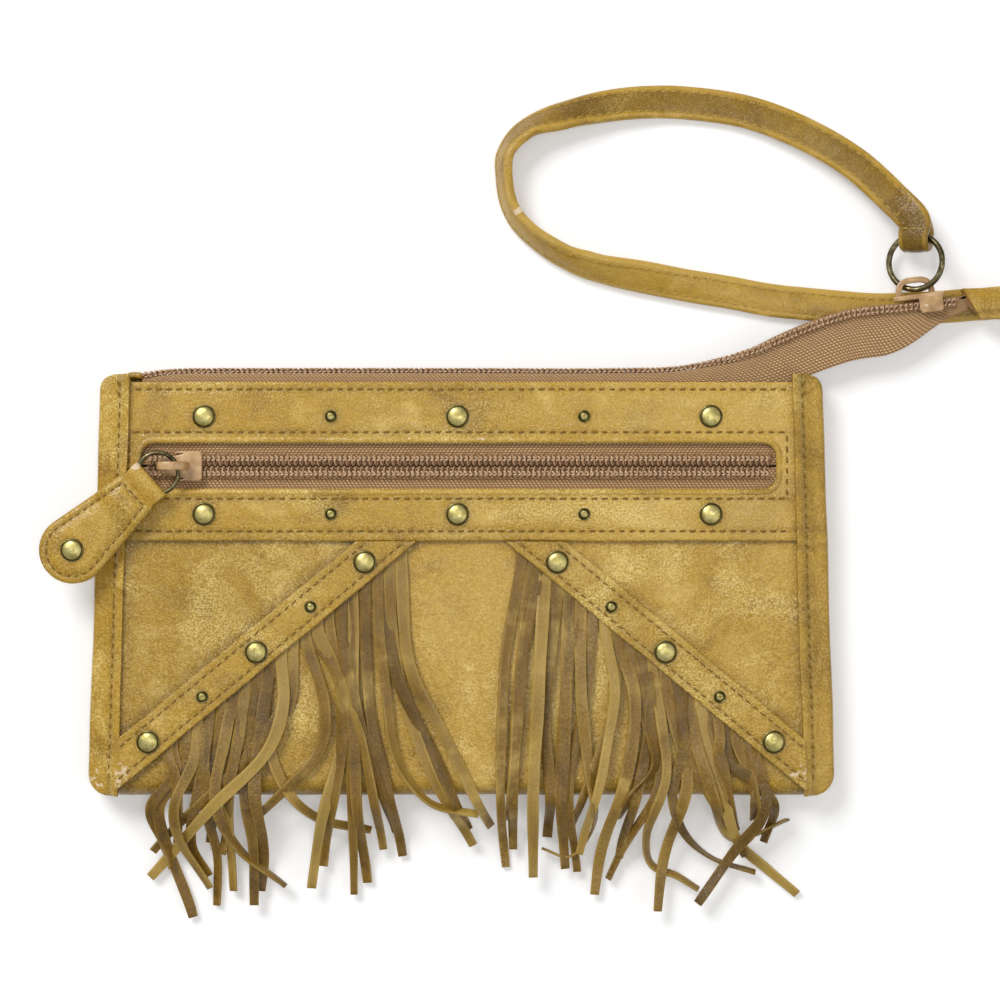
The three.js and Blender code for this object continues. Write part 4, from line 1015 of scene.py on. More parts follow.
def window_distance(x, y):
    """Distance outside the window's round-cornered edge; negative inside it."""
    dx = max(WINDOW_LEFT + WINDOW_RADIUS - x, x - WINDOW_RIGHT + WINDOW_RADIUS)
    dy = max(WINDOW_BOTTOM + WINDOW_RADIUS - y, y - WINDOW_TOP + WINDOW_RADIUS)
    outside = math.hypot(max(dx, 0), max(dy, 0))
    return outside + min(max(dx, dy), 0) - WINDOW_RADIUS


def band_tone_and_shading(p):
    # Painted shade along the stitch rows, at the lower edge, round the rivets and by the bindings;
    # painted light towards the right.
    rows = max(bump_at(p.y - row, 0.75) for row in BAND_ROWS)
    hem = smooth(1.5, 0.1, p.y - BAND_BOTTOM_Y)
    rivets = round_rivets(p, BAND_RIVETS.values(), 1.2)
    side = smooth(-3, 0, abs(p.x) - binding_edge(p.y))
    lighter = 0.3 * smooth(0.0, 0.6, relief(p.x, p.y, 19, 8.0)) + 0.6 * smooth(0, 70, p.x)
    return lighter - 0.42 * rows - 0.45 * hem - 0.45 * rivets - 0.5 * side


def band_wear(p):
    rim = bump_at(window_distance(p.x, p.y) - 1.1, 0.45)
    flakes = max(bump_at(p.x - 5, 26), bump_at(p.x + 32, 16)) * (1.0 if p.y > CHAIN_Y else 0.45)
    top = 0.4 * smooth(1.5, 0.2, BAND_TOP_Y - p.y) * smooth(0.1, 0.5, relief(p.x, 1, 12, 3.0))
    return 0.40 * rim * flakes + top


def window_outline(grow, steps=8):
    """Points round the window, anticlockwise, moved outwards by grow."""
    radius = WINDOW_RADIUS + grow
    corners = ((WINDOW_RIGHT - WINDOW_RADIUS, WINDOW_BOTTOM + WINDOW_RADIUS, -90),
               (WINDOW_RIGHT - WINDOW_RADIUS, WINDOW_TOP - WINDOW_RADIUS, 0),
               (WINDOW_LEFT + WINDOW_RADIUS, WINDOW_TOP - WINDOW_RADIUS, 90),
               (WINDOW_LEFT + WINDOW_RADIUS, WINDOW_BOTTOM + WINDOW_RADIUS, 180))
    points = []
    for x, y, start in corners:
        for i in range(steps + 1):
            angle = math.radians(start + 90 * i / steps)
            points.append((x + radius * math.cos(angle), y + radius * math.sin(angle)))
    return points


def cut_window(obj):
    """Punches the round-cornered window out of the band with a cutter of its outline."""
    outline = window_outline(0.35)
    cutter = bevelled_plate("window_cutter", outline, BAND_TOP - 5, BAND_TOP + 5, edge=0)
    cut = obj.modifiers.new("Window", "BOOLEAN")
    cut.operation = "DIFFERENCE"
    cut.object = cutter
    cut.solver = "EXACT"
    apply_modifiers(obj)
    bpy.data.objects.remove(cutter)
    return obj


def make_window_rim():
    """Turned edge of the window: leather rolled over and down to the tape."""
    outer = window_outline(1.7)
    path = []
    for i, (x, y) in enumerate(outer):
        nx, ny = outer[(i + 1) % len(outer)]
        run = math.hypot(nx - x, ny - y)
        pieces = max(int(run / 1.2), 1)
        path += [(mix(x, nx, k / pieces), mix(y, ny, k / pieces)) for k in range(pieces)]
    section = ((0.0, -0.10), (0.25, 0.16), (0.7, 0.30), (1.2, 0.26), (1.62, 0.0), (1.80, -0.5),
               (1.72, -1.25), (1.2, -1.3), (0.9, -0.5), (0.2, -0.35))
    sections = []
    count = len(path)
    for i, (x, y) in enumerate(path):
        ax, ay = path[i - 1]
        bx, by = path[(i + 1) % count]
        ahead = Vector((bx - ax, by - ay, 0)).normalized()
        inward = Vector((-ahead.y, ahead.x, 0))
        wave = 0.14 * relief(x, y, 5, 20.0)
        edge = Vector((x, y, band_face(x, y) + wave * 0.6))
        inward *= 1 + 0.5 * wave
        sections.append([edge + Vector((0, 0, h)) + inward * s for s, h in section])
    rim = face_outwards(sweep("window_rim", sections, closed=True))
    # Painted highlight on the turned edge and painted shade where it goes down into the window.
    paint(rim, "tone", lambda p: 0.30 + 0.35 * relief(p.x, p.y, 9, 2)
          - 0.8 * smooth(-0.35, -0.9, p.z - BAND_TOP))
    paint(rim, "wear_and_glint", lambda p: band_wear(p) * 1.25 + 0.10)
    return finish_piece(rim, "bag", finishes()["band"], (), 70)


def make_band(columns):
    band = blank("band_leather", columns, int(columns * 0.24))
    lay_out(band, band_place, 2 * TOP_HALF_WIDTH, BAND_TOP_Y - BAND_BOTTOM_Y)
    thicken(band, LEATHER, edge=0.35)
    cut_window(band)
    paint(band, "tone", band_tone_and_shading)
    paint(band, "wear_and_glint", band_wear)
    return finish_piece(band, "bag", finishes()["band"], ["zip_band"], 50)


def band_stitches():
    """Four rows along the band, the middle two beside the window, and one down each end of it."""
    places = []
    reach = binding_edge(BAND_TOP_Y) - 1.0
    long_row, short_row = (-reach, reach, 2.6), (WINDOW_LEFT - 2.5, WINDOW_RIGHT + 2.8, 2.7)
    rows = zip(BAND_ROWS, (long_row, short_row, short_row, long_row))
    for number, (y, (start, end, pitch)) in enumerate(rows):
        line = straight((start, y), (end, y), 60)
        places += stitch_run(line, band_face, pitch=pitch, seed=11 + number)
    for x in BAND_COLUMNS:
        line = straight((x, BAND_ROWS[2] + 0.3), (x, BAND_ROWS[1] - 0.3), 6)
        places += stitch_run(line, band_face, pitch=2.6, seed=15)
    return places


# Rivets
def rivet_places():
    """Where each rivet of the band and of the straps sits, and whether it is a big one."""
    band, straps = {}, {}
    for k in range(RIVETS_IN_A_ROW):
        x = BAND_RIVET_MIDDLE + BAND_RIVET_PITCH * (k - RIVETS_IN_A_ROW // 2)
        for row, y in BAND_RIVET_ROWS.items():
            band[row, k + 1] = (x, y, k % 2 == 0)
    for side in (-1, 1):
        for k in range(RIVETS_IN_A_ROW):
            x = side * (STRAP_RIVET_START[0] + k * STRAP_RIVET_PITCH * math.cos(DIAGONAL_SLOPE))
            y = STRAP_RIVET_START[1] - k * STRAP_RIVET_PITCH * math.sin(DIAGONAL_SLOPE)
            straps[hand(side), k + 1] = (x, y, k % 2 == 0)
    return band, straps


BAND_RIVETS, STRAP_RIVETS = rivet_places()


def round_rivets(p, rivets, width):
    """How near a place is to a rivet's rim, from 0 to 1."""
    return max(bump_at(math.hypot(p.x - x, p.y - y) - (BIG_RIVET if big else SMALL_RIVET), width)
               for x, y, big in rivets)


def make_rivet(name, node, body, x, y, level, big):
    """A spun cap: a low dome, a groove round it and a thin rolled rim."""
    sizes_of = {True: (BIG_RIVET, 1.25, 0.86, 32), False: (SMALL_RIVET, 0.85, 0.66, 20)}
    radius, height, dome, segments = sizes_of[big]
    shoulder = 0.42
    profile = [(dome * radius * math.sin(a), shoulder + (height - shoulder) * math.cos(a))
               for a in (math.radians(d) for d in (15, 30, 45, 60, 75, 90))]
    profile += [(dome * radius, 0.20), (dome * radius + 0.12, 0.14), (radius * 0.93, 0.36),
                (radius, 0.30), (radius * 1.02, 0.12), (radius, -0.35)]
    turns = [2 * math.pi * i / segments for i in range(segments)]
    vertices = [(0.0, 0.0, height)]
    vertices += [(r * math.cos(a), r * math.sin(a), h) for r, h in profile for a in turns]
    pairs = [(i, (i + 1) % segments) for i in range(segments)]
    faces = [(0, 1 + i, 1 + j) for i, j in pairs]
    for ring in range(len(profile) - 1):
        a, b = 1 + ring * segments, 1 + (ring + 1) * segments
        faces += [(a + i, b + i, b + j, a + j) for i, j in pairs]
    last = 1 + (len(profile) - 1) * segments
    faces.append(tuple(reversed(range(last, last + segments))))
    rivet = mesh_object(name, [(x + a, y + b, level + c) for a, b, c in vertices], faces)
    if not big:
        press_dimple(rivet, x, y, level)
    dull = 0.0 if big else -0.38
    paint(rivet, "tone", lambda p: dull + rivet_tone(math.hypot(p.x - x, p.y - y) / radius, dome))
    return finish_piece(rivet, body, finishes()["brass"], [node], 60)


def rivet_tone(share, dome):
    return -bump_at(share - dome - 0.03, 0.075) - 0.5 * smooth(0.92, 1.02, share)


def press_dimple(rivet, x, y, level):
    """Lowers the middle of a small rivet."""
    for vertex in rivet.data.vertices:
        share = math.hypot(vertex.co.x / MM - x, vertex.co.y / MM - y) / SMALL_RIVET
        if share < 0.4 and vertex.co.z / MM > level:
            vertex.co.z -= 0.22 * (1 - share / 0.4) * MM


def make_rivets():
    for (row, number), (x, y, big) in BAND_RIVETS.items():
        names = f"band_{row}_cap_{number}", f"band_{row}_rivet_{number}"
        make_rivet(*names, "bag", x, y, band_face(x, y) - 0.05, big)
    for (word, number), (x, y, big) in STRAP_RIVETS.items():
        names = f"{word}_strap_cap_{number}", f"{word}_diagonal_rivet_{number}"
        make_rivet(*names, "bag", x, y, strap_face(x, y) - 0.08, big)


# Diagonal straps
FIELD_TOP = BAND_BOTTOM_Y - SEAM_GAP
FIELD_LOW = 1.3 - MOUTH_Y


def diagonal_reach(inward, top):
    """Where a line along a strap meets the band, or the binding and bottom at its lower end."""
    rise = inward * math.cos(DIAGONAL_SLOPE)
    if top:
        return rise / math.sin(DIAGONAL_SLOPE) - 0.4
    along = 0.0
    while along < 160:
        x, y = diagonal_at(1, along, inward)
        if x > binding_edge(y) + 0.6 or y < FIELD_LOW:
            return along
        along += 0.25
    return along


def diagonal_place(side, ends):
    def place(u, v):
        inward = v * DIAGONAL_WIDTH
        start, end = ends[min(int(v * (len(ends) - 1) + 0.5), len(ends) - 1)]
        inward += 0.25 * relief(u * 110, side * 3, 15, 2.0)
        x, y = diagonal_at(side, mix(start, end, u), inward)
        return x, min(y, FIELD_TOP + 1.5), strap_face(x, y) - 0.4 * smooth(3, 0, y + MOUTH_Y - 1)
    return place


def diagonal_tone_and_shading(p):
    across = diagonal_across(p.x, p.y)
    # Painted shade along the stitch rows, at the strap's edges, round the rivets and under the band.
    seam = max(bump_at(across - row, 0.7) for row in DIAGONAL_ROWS)
    edge = max(smooth(0.6, 0.0, across), smooth(0.6, 0.0, DIAGONAL_WIDTH - across))
    rivets = round_rivets(p, STRAP_RIVETS.values(), 1.0)
    under = smooth(2, 0, FIELD_TOP - p.y)
    return 0.3 * relief(p.x, p.y, 13, 30) - 0.4 * seam - 0.5 * edge - 0.4 * rivets - 0.3 * under


def diagonal_wear(p):
    corner = bump_at(math.hypot(abs(p.x) - 88, p.y + 48), 7)
    return 0.55 * corner + 0.1 * smooth(0.3, 0.6, relief(p.x, p.y, 7, 31))


def make_diagonal(side, columns, rows):
    word = hand(side)
    ends = [[diagonal_reach(i / rows * DIAGONAL_WIDTH, top) for top in (True, False)]
            for i in range(rows + 1)]
    strap = blank(f"{word}_strap_leather", columns, rows)
    lay_out(strap, diagonal_place(side, ends), 110, DIAGONAL_WIDTH)
    paint(strap, "tone", diagonal_tone_and_shading)
    paint(strap, "wear_and_glint", diagonal_wear)
    face_out_from(strap, Vector((side * 50, -20, -20)))
    thicken(strap, DIAGONAL_LEATHER, edge=0.28)
    leather = finishes()["tan"]
    return finish_piece(strap, "bag", leather, [f"{word}_diagonal_strap"], 55)


def diagonal_stitches(side):
    places = []
    for inward in DIAGONAL_ROWS:
        start, end = diagonal_reach(inward, True) + 0.8, diagonal_reach(inward, False) - 1.0
        line = [(*diagonal_at(side, mix(start, end, i / 40), inward), 0.0) for i in range(41)]
        seed = int(20 + inward + side)
        places += stitch_run(line, strap_face, pitch=2.5, length=1.7, width=0.46, seed=seed)
    return places


# Fringe
# Each strand: how pale it is, how far it rolls over, and the points that it hangs through to its
# tip, measured in the photo, with X counted outwards on both sides
LEFT_STRANDS = (
    (0.6, 0.2, ((13, -20), (5, -38), (-8, -63))),
    (0.5, 0.3, ((16.5, -22), (9, -45), (-3, -68))),
    (0.2, 0.9, ((20, -25), (16, -45), (7, -56), (-4, -59))),
    (-0.3, 0.2, ((24, -30), (19, -50), (16, -71))),
    (0.5, 0.3, ((27, -30), (24, -50), (20, -69))),
    (-0.2, 0.2, ((29, -28), (27, -50), (25, -78))),
    (0.1, 0.2, ((31, -28), (29, -45), (28, -81))),
    (0.6, 0.3, ((31, -25), (30, -34), (35, -56), (39, -79))),
    (0.1, 0.4, ((35, -30), (37, -42), (47, -54), (54.5, -62))),
    (0.4, 0.8, ((44, -28), (49, -42), (38, -60), (24, -64))),
    (0.9, 0.1, ((46, -30), (50, -42), (65, -58), (82, -76.5))),
    (-0.4, 0.3, ((51, -30), (53, -50), (52, -66), (53, -80))),
    (0.0, 0.2, ((54, -33), (56, -52), (54, -66), (54.5, -83.5))),
    (0.3, 0.5, ((57, -35), (60, -52), (60, -70), (60, -80))),
    (0.2, 1.3, ((61, -38), (63, -55), (58, -69), (46, -78.5))),
    (-0.1, 0.2, ((63, -40), (66, -55), (64, -70), (64.5, -84))),
    (-0.5, 0.4, ((66, -42), (69, -55), (70, -68), (66, -76))),
    (0.2, 0.6, ((69, -44), (74, -56), (73, -66), (66, -79))),
    (-0.4, 0.4, ((71, -46), (78, -56), (77, -66), (71, -87))),
    (-0.2, 0.9, ((74, -48), (80, -58), (76, -74))),
)
RIGHT_STRANDS = (
    (0.1, 0.2, ((11.5, -20), (10, -50), (12, -74))),
    (-0.1, 0.2, ((15, -25), (14, -50), (13.5, -69))),
    (0.9, 0.1, ((20, -25), (19, -50), (18.6, -76))),
    (-0.2, 0.3, ((22, -28), (23, -50), (22, -66))),
    (0.0, 0.3, ((27, -28), (26, -50), (27, -74))),
    (0.5, 1.3, ((31, -28), (33, -45), (34.5, -63), (28, -71), (20.7, -68.8))),
    (-0.2, 0.3, ((32, -30), (28, -55), (30, -75))),
    (0.9, 0.1, ((40, -28), (37, -45), (33, -60), (31, -70))),
    (0.3, 0.2, ((45, -28), (42, -50), (38, -65), (35, -81))),
    (-0.2, 0.9, ((47, -30), (50, -46), (44, -54), (41, -60))),
    (-0.1, 0.8, ((49, -33), (51, -50), (45, -63), (39, -77))),
    (0.3, 1.1, ((52, -35), (53, -48), (48, -64), (50, -73), (57, -76), (62.5, -79.5))),
    (0.2, 0.3, ((56, -38), (58, -50), (54, -68), (51.3, -85))),
    (-0.4, 1.2, ((58, -40), (55, -54), (58, -64), (65, -71), (77, -75))),
    (0.2, 1.3, ((61, -42), (66, -56), (71, -66), (77, -65), (85, -60.5))),
    (0.8, 0.5, ((64, -42), (68, -55), (73, -67), (80, -74), (87.7, -81))),
    (-0.2, 0.6, ((67, -44), (70, -56), (72, -64))),
    (-0.6, 0.4, ((70, -46), (79, -52), (78, -60), (71, -69), (62, -83))),
    (0.0, 0.7, ((74, -48), (77, -56), (78, -63))),
    (-0.3, 0.4, ((77, -50), (81, -56), (79, -67))),
)
STRAND_PITCH = 3.11
STRAND_WIDTH = 3.0


def strand_line(side, root, bends, chance):
    """The middle of a strand: it leaves the strap, hangs through its bends and ends at its tip."""
    points = [(root[0], root[1], 0), (root[0], root[1] - 5, 0)] + [(x, y, 0) for x, y in bends]
    route = Route(points, samples=12)
    wobble, phase = chance.uniform(0.2, 0.6), chance.uniform(0, 6.3)
    line = []
    steps = 50
    for i in range(steps + 1):
        t = i / steps
        point = route.at(t)
        sway = wobble * math.sin(9 * t + phase) * smooth(0.1, 0.5, t)
        line.append((side * (point.x + sway), point.y))
    return line, phase


def strand_height(x, y, t, order, phase, tip_y):
    """The strand lies over its neighbours on the front and comes down past the bottom."""
    ride = (0.15 + (order % 3) * 0.42) * smooth(0.08, 0.3, t)
    ride += 0.35 * (1 + math.sin(9 * t + phase)) * smooth(0.15, 0.5, t)
    over = front_face(x, y) + FRINGE_LEATHER / 2 + 0.18 + ride
    down = FRINGE_LEATHER / 2 + 0.12 + (int(order * 7) % 5) * 0.72
    down += 0.7 * (1 + math.sin(7 * t + 2 * phase)) * 0.5
    reach = max(min(20.0, -MOUTH_Y - tip_y - 3), 9.0)
    return mix(over, down, smooth(0, reach, -MOUTH_Y - 0.2 - y))


def strand_turn(t, phase, twist):
    """How far the strand rolls about its own length: little on the bag, more where it hangs."""
    calm = 0.16 * math.sin(6 * t + phase)
    return calm * smooth(0.1, 0.4, t) + twist * smooth(0.4, 0.85, t)


def make_strand(name, side, order, kind, chance, lead):
    along = ((order + 0.6) * STRAND_PITCH) / math.cos(DIAGONAL_SLOPE)
    rx, ry = diagonal_at(1, along, 3.0)
    pale, roll, bends = kind
    tip = bends[-1]
    line, phase = strand_line(side, (rx, ry), bends, chance)
    twist = roll * chance.choice((-1, 1))
    base_width = STRAND_WIDTH * chance.uniform(0.86, 1.12)
    columns, rows = 4, len(line) - 1
    strip = blank(name, rows, columns)
    centres = []
    for i, (x, y) in enumerate(line):
        t = i / rows
        level = strand_height(x, y, t, order, phase, tip[1]) + lead * smooth(0.05, 0.3, t)
        centres.append(Vector((x, y, level)))
    shapes = []
    for i, centre in enumerate(centres):
        t = i / rows
        ahead = (centres[min(i + 1, rows)] - centres[max(i - 1, 0)]).normalized()
        _, sideways, rise = frame_along(ahead)
        turn = strand_turn(t, phase, twist)
        width = base_width * mix(1.0, 0.74, t ** 3) * (1 + 0.05 * math.sin(20 * t + phase))
        cup = 0.16 * math.sin(5 * t + phase)
        shapes.append((centre, sideways, rise, turn, width, cup))
    raised = [0.0] * (rows + 1)
    for i, (centre, sideways, rise, turn, width, cup) in enumerate(shapes):
        dip = abs(math.sin(turn)) * width / 2
        raised[i] = dip + max(0.0, 0.32 - (centre.z - dip))

    def place(u, v):
        centre, sideways, rise, turn, width, cup = shapes[int(round(u * rows))]
        lift = raised[int(round(u * rows))]
        offset = (v - 0.5) * width
        point = centre + sideways * (offset * math.cos(turn)) + rise * (offset * math.sin(turn) + lift)
        bow = cup * (1 - (2 * v - 1) ** 2)
        return point + (rise * math.cos(turn) - sideways * math.sin(turn)) * bow

    uv_length = sum((b - a).length for a, b in zip(centres, centres[1:]))
    edges = [smooth(0.6, 1.0, abs(2 * vertex.co.y - 1)) for vertex in strip.data.vertices]
    lay_out(strip, place, uv_length, base_width)
    shade = mix(-0.45, 0.75, (pale + 0.6) / 1.5) + chance.uniform(-0.12, 0.12)
    tips = chance.uniform(-0.1, 0.3)
    layer = strip.data.attributes.new("tone", "FLOAT", "POINT")
    for vertex, item, edge in zip(strip.data.vertices, layer.data, edges):
        p = vertex.co / MM
        low = smooth(BAND_BOTTOM_Y, tip[1], p.y)
        item.value = shade + tips * low + 0.35 * relief(p.x, p.y, 8, order) + 0.4 * edge - 0.2
    face_up(strip)
    return strip


def face_up(obj):
    mesh = obj.data
    if sum(f.normal.z * f.area for f in mesh.polygons) < 0:
        mesh.flip_normals()
    return obj


def shade_backs(obj):
    """The flesh side of the leather is lighter: faces that look down or back get that tone."""
    mesh = obj.data
    layer = mesh.attributes["tone"]
    backs = set()
    for face in mesh.polygons:
        if face.normal.z < -0.15:
            backs.update(face.vertices)
    for index in backs:
        layer.data[index].value = 0.75
    return obj


def make_fringe(side, strands, seed):
    """A comb of cut strands: the listed ones, one behind every third of them, and their header."""
    word = hand(side)
    chance = Random(seed)
    strips = []
    for order, kind in enumerate(strands):
        lead = 1.3 if kind[0] > 0.85 else 0.0
        strips.append(make_strand(f"{word}_strand_{order}", side, order, kind, chance, lead))
        if order % 3 == 1:
            x, y = kind[2][-1]
            near = (x + chance.uniform(-4, 4), y + chance.uniform(4, 10))
            extra = (chance.uniform(-0.6, 0.1), chance.uniform(0.2, 0.6), (kind[2][0], near))
            strips.append(make_strand(f"{word}_extra_{order}", side, order + 0.45, extra, chance,
                                      -0.1))
    header = blank(f"{word}_header", 60, 3)
    length = (len(strands) + 0.4) * STRAND_PITCH / math.cos(DIAGONAL_SLOPE)

    def header_place(u, v):
        x, y = diagonal_at(side, mix(0.6, length, u), mix(1.2, 6.5, v))
        y = min(y, FIELD_TOP)
        return x, y, front_face(x, y) + FRINGE_LEATHER / 2 + 0.16

    lay_out(header, header_place, length, 5)
    header.data.attributes.new("tone", "FLOAT", "POINT")
    face_up(header)
    comb = join_pieces(f"{word}_fringe_leather", strips + [header])
    thicken(comb, FRINGE_LEATHER, edge=0.12, offset=0.0, segments=1)
    shade_backs(comb)
    return finish_piece(comb, "bag", finishes()["fringe"], [f"{word}_fringe"], 55)


# Zips
def make_pocket_tape(side):
    """Woven tape beside the pocket's chain, bowed a little and turned up at the chain."""
    word = "upper" if side > 0 else "lower"
    low, high = UPPER_TAPE_LOW, UPPER_TAPE_HIGH
    length = high.x - low.x
    reach = high.y - CHAIN_Y
    tape = blank(f"pocket_{word}_tape_cloth", 160, 14)

    def place(u, v):
        x = low.x + u * length
        out = 0.25 + v * (reach - 0.6)
        wave = 0.16 * relief(x, out * side, 12, 4.0) * smooth(0.5, 4, out)
        ridge = 0.42 * bump_at(out - 4.0, 0.5)
        return x, CHAIN_Y + side * out, high.z - 0.05 + wave + 0.25 * ridge

    lay_out(tape, place, length, reach)
    face_up(tape)
    thicken(tape, 0.45, edge=0.1, segments=1)
    return finish_piece(tape, "bag", finishes()["tape"], [f"pocket_{word}_tape"], 60)


POINTS_PER_TURN = 12


def zip_coil(name, node, centre_at, turns):
    """A coil of wire whose turns go round the oval that centre_at gives for each share of it."""
    points = []
    steps = turns * POINTS_PER_TURN
    for k in range(steps + 1):
        angle = 2 * math.pi * k / POINTS_PER_TURN
        centre, out, rise, wide, tall = centre_at(k / steps)
        points.append(centre + out * (wide * squared(math.cos(angle), 0.8))
                      + rise * (tall * squared(math.sin(angle), 0.7)))
    coil = tube(name, points, COIL_WIRE, sides=6)
    return finish_piece(coil, "bag", finishes()["coil"], [node], 60)


def make_pocket_coil(side):
    word = "upper" if side > 0 else "lower"
    low, high = UPPER_COIL_LOW, UPPER_COIL_HIGH
    count = int((high.x - low.x) / TOOTH_PITCH)
    middle_z = (low.z + high.z) / 2
    outer = high.y - CHAIN_Y
    middle = (outer + 0.15) / 2
    half_high = (high.z - low.z) / 2 - COIL_WIRE + 0.1
    offset = 0.25 * side * TOOTH_PITCH
    out, rise = Vector((0, side, 0)), Vector((0, 0, 1))

    def centre_at(share):
        x = mix(low.x + 0.8, high.x - 0.8, share) + offset
        centre = Vector((x, CHAIN_Y + side * middle, middle_z))
        return centre, out, rise, middle - COIL_WIRE + 0.12, half_high

    zip_coil(f"pocket_{word}_teeth", f"pocket_{word}_coil", centre_at, count)

    def row_at(share):
        x = mix(low.x + 1, high.x - 1, share)
        place = Vector((x, CHAIN_Y + side * (middle + 0.25), high.z + 0.02))
        return place, Vector((1, 0, 0)), out, rise

    rows = braid(f"pocket_{word}_braid", row_at, high.x - low.x - 2, (0.98, 0.46), ARROW_ROWS)
    return finish_piece(rows, "bag", finishes()["chain_thread"], (), 70)


BRAID_PITCH = 1.25
# Rows of a braid: how far each lies across the coil, and its stitches' slant
ARROW_ROWS = ((-0.32, 0.5), (0.32, -0.5))
SINGLE_ROW = ((0.0, 0.45),)


def braid(name, path_at, length, size, rows):
    """Sewing thread over a coil: rows of slanted stitches, of the given length and width."""
    places = []
    count = int(length / BRAID_PITCH)
    for k in range(count):
        for row, (across, slant) in enumerate(rows):
            centre, ahead, sideways, rise = path_at((k + 0.5 + 0.12 * row) / count)
            along = (ahead + sideways * slant).normalized()
            axes = along * size[0], rise.cross(along) * size[1], rise * size[1]
            places.append((centre + sideways * across, *axes))
    return thread_mesh(name, places)


def make_lining(word, columns, legs, share, length):
    """A folded sheet of thin cloth, as wide as a share of the bag."""
    lining = blank(f"{word}_cloth", columns, 60)

    def place(u, v):
        y, z = profile_place(v, legs)
        x = (2 * u - 1) * half_width(y) * share
        return x, y, drape(x, y, z)

    lay_out(lining, place, 2 * BOTTOM_HALF_WIDTH, length)
    thicken(lining, 0.25, edge=0, offset=0.0)
    return finish_piece(lining, "bag", finishes()["lining"], [f"{word}_lining"], 60)


def make_pocket_lining(columns):
    """Inner bag of the pocket, open under the chain."""
    low, high = POCKET_LOW, POCKET_HIGH
    half = (high.z - low.z) / 2
    floor, top, lip = low.y + half, high.y - half, 6.8
    legs = (
        (0.30, (CHAIN_Y - lip, high.z), (floor, high.z), 0),
        (0.34, (floor, high.z), (floor, low.z), -half),
        (0.84, (floor, low.z), (top, low.z), 0),
        (0.88, (top, low.z), (top, high.z), half),
        (1, (top, high.z), (CHAIN_Y + lip, high.z), 0),
    )
    return make_lining("pocket", columns, legs, 0.88, 170)


def make_main_lining(columns):
    """Inner bag of the main compartment, open at the mouth."""
    low, high = LINING_LOW, LINING_HIGH
    half = (high.z - low.z) / 2
    floor = low.y + half
    legs = (
        (0.47, (high.y, low.z), (floor, low.z), 0),
        (0.53, (floor, low.z), (floor, high.z), -half),
        (1, (floor, high.z), (high.y, high.z), 0),
    )
    return make_lining("main", columns, legs, 0.92, 180)


# Top zip, whose chain runs along the mouth and out into a loose end
CHAIN_Z_MOUTH = BAND_TOP / 2
CHAIN_Z_TAIL = 6.2
TAIL_START = Vector((101.0, 72.3))
TAIL_END = Vector((131.5, 75.8))
TAIL_ANGLE = math.atan2(TAIL_END.y - TAIL_START.y, TAIL_END.x - TAIL_START.x)
TAIL_DIRECTION = Vector((math.cos(TAIL_ANGLE), math.sin(TAIL_ANGLE)))
MOUTH_CHAIN_Y = MOUTH_Y + 0.6
CHAIN_ROUTE = (
    (-83, MOUTH_CHAIN_Y - 0.5, CHAIN_Z_MOUTH),
    (-76, MOUTH_CHAIN_Y, CHAIN_Z_MOUTH),
    (-40, MOUTH_CHAIN_Y + 0.2, CHAIN_Z_MOUTH),
    (0, MOUTH_CHAIN_Y + 0.2, CHAIN_Z_MOUTH),
    (40, MOUTH_CHAIN_Y + 0.2, CHAIN_Z_MOUTH),
    (57, MOUTH_CHAIN_Y + 0.8, CHAIN_Z_MOUTH),
    (66, MOUTH_CHAIN_Y + 3.0, 5.6),
    (75, MOUTH_CHAIN_Y + 6.8, 5.8),
    (83, MOUTH_CHAIN_Y + 10.8, 6.0),
    (92, 69.5, CHAIN_Z_TAIL),
    (TAIL_START.x, TAIL_START.y, CHAIN_Z_TAIL),
    ((TAIL_START.x + TAIL_END.x) / 2, (TAIL_START.y + TAIL_END.y) / 2, CHAIN_Z_TAIL),
    (TAIL_END.x, TAIL_END.y, CHAIN_Z_TAIL),
)
CHAIN = Route(CHAIN_ROUTE)
TAIL_WIDTH = 13.2
TAIL_END_WIDTH = 3.8
TAPE = 0.5
TAPE_SPREAD = 0.4
TAPE_FACE = TAPE_SPREAD + TAPE / 2
TOP_COIL_WIDTH = 2.15
COIL_HEIGHT = 1.2
COIL_SETBACK = 0.25
COIL_SHARE = 0.985
# Stops across a tape, from the chain to its edge: at the mouth, how far out and how far from the
# chain's middle each lies; in the loose tail, its share of the tape's width
MOUTH_TAPE = ((0, 0.35), (0, 3.2), (-1.6, 3.75), (-4, 3.8), (-7.8, 3.8))
TAIL_TAPE = (0, 0.24, 0.45, 0.72, 1)


def mouth_share(x):
    """How far a tape has the form that it takes in the mouth: 1 there, 0 in the loose tail."""
    return 1 - smooth(56, 86, x) - 0.35 * smooth(72, 83, -x)


def tail_width(x):
    if x < 0:
        return -MOUTH_TAPE[-1][0]
    return mix(TAIL_WIDTH, TAIL_END_WIDTH, smooth(108, 133, x))


def tape_stop(x, index, side):
    share = mouth_share(x)
    mouth_v, mouth_n = MOUTH_TAPE[index]
    tail_v = -TAIL_TAPE[index] * tail_width(x)
    return Vector((mix(tail_v, mouth_v, share), side * mix(TAPE_SPREAD, mouth_n, share)))


def tape_across(x, w, side):
    """A point across the tape at a share w from the fold, on a smooth line through its stops."""
    last = len(MOUTH_TAPE) - 1
    stops = [tape_stop(x, i, side) for i in range(last + 1)]
    place = w * last
    i = min(int(place), last - 1)
    part = place - i
    p1, p2 = stops[i], stops[i + 1]
    p0 = stops[i - 1] if i > 0 else p1 * 2 - p2
    p3 = stops[i + 2] if i < last - 1 else p2 * 2 - p1
    a = p1 * 2
    b = (p2 - p0) * part
    c = (p0 * 2 - p1 * 5 + p2 * 4 - p3) * part ** 2
    d = (p3 - p0 + (p1 - p2) * 3) * part ** 3
    return (a + b + c + d) / 2


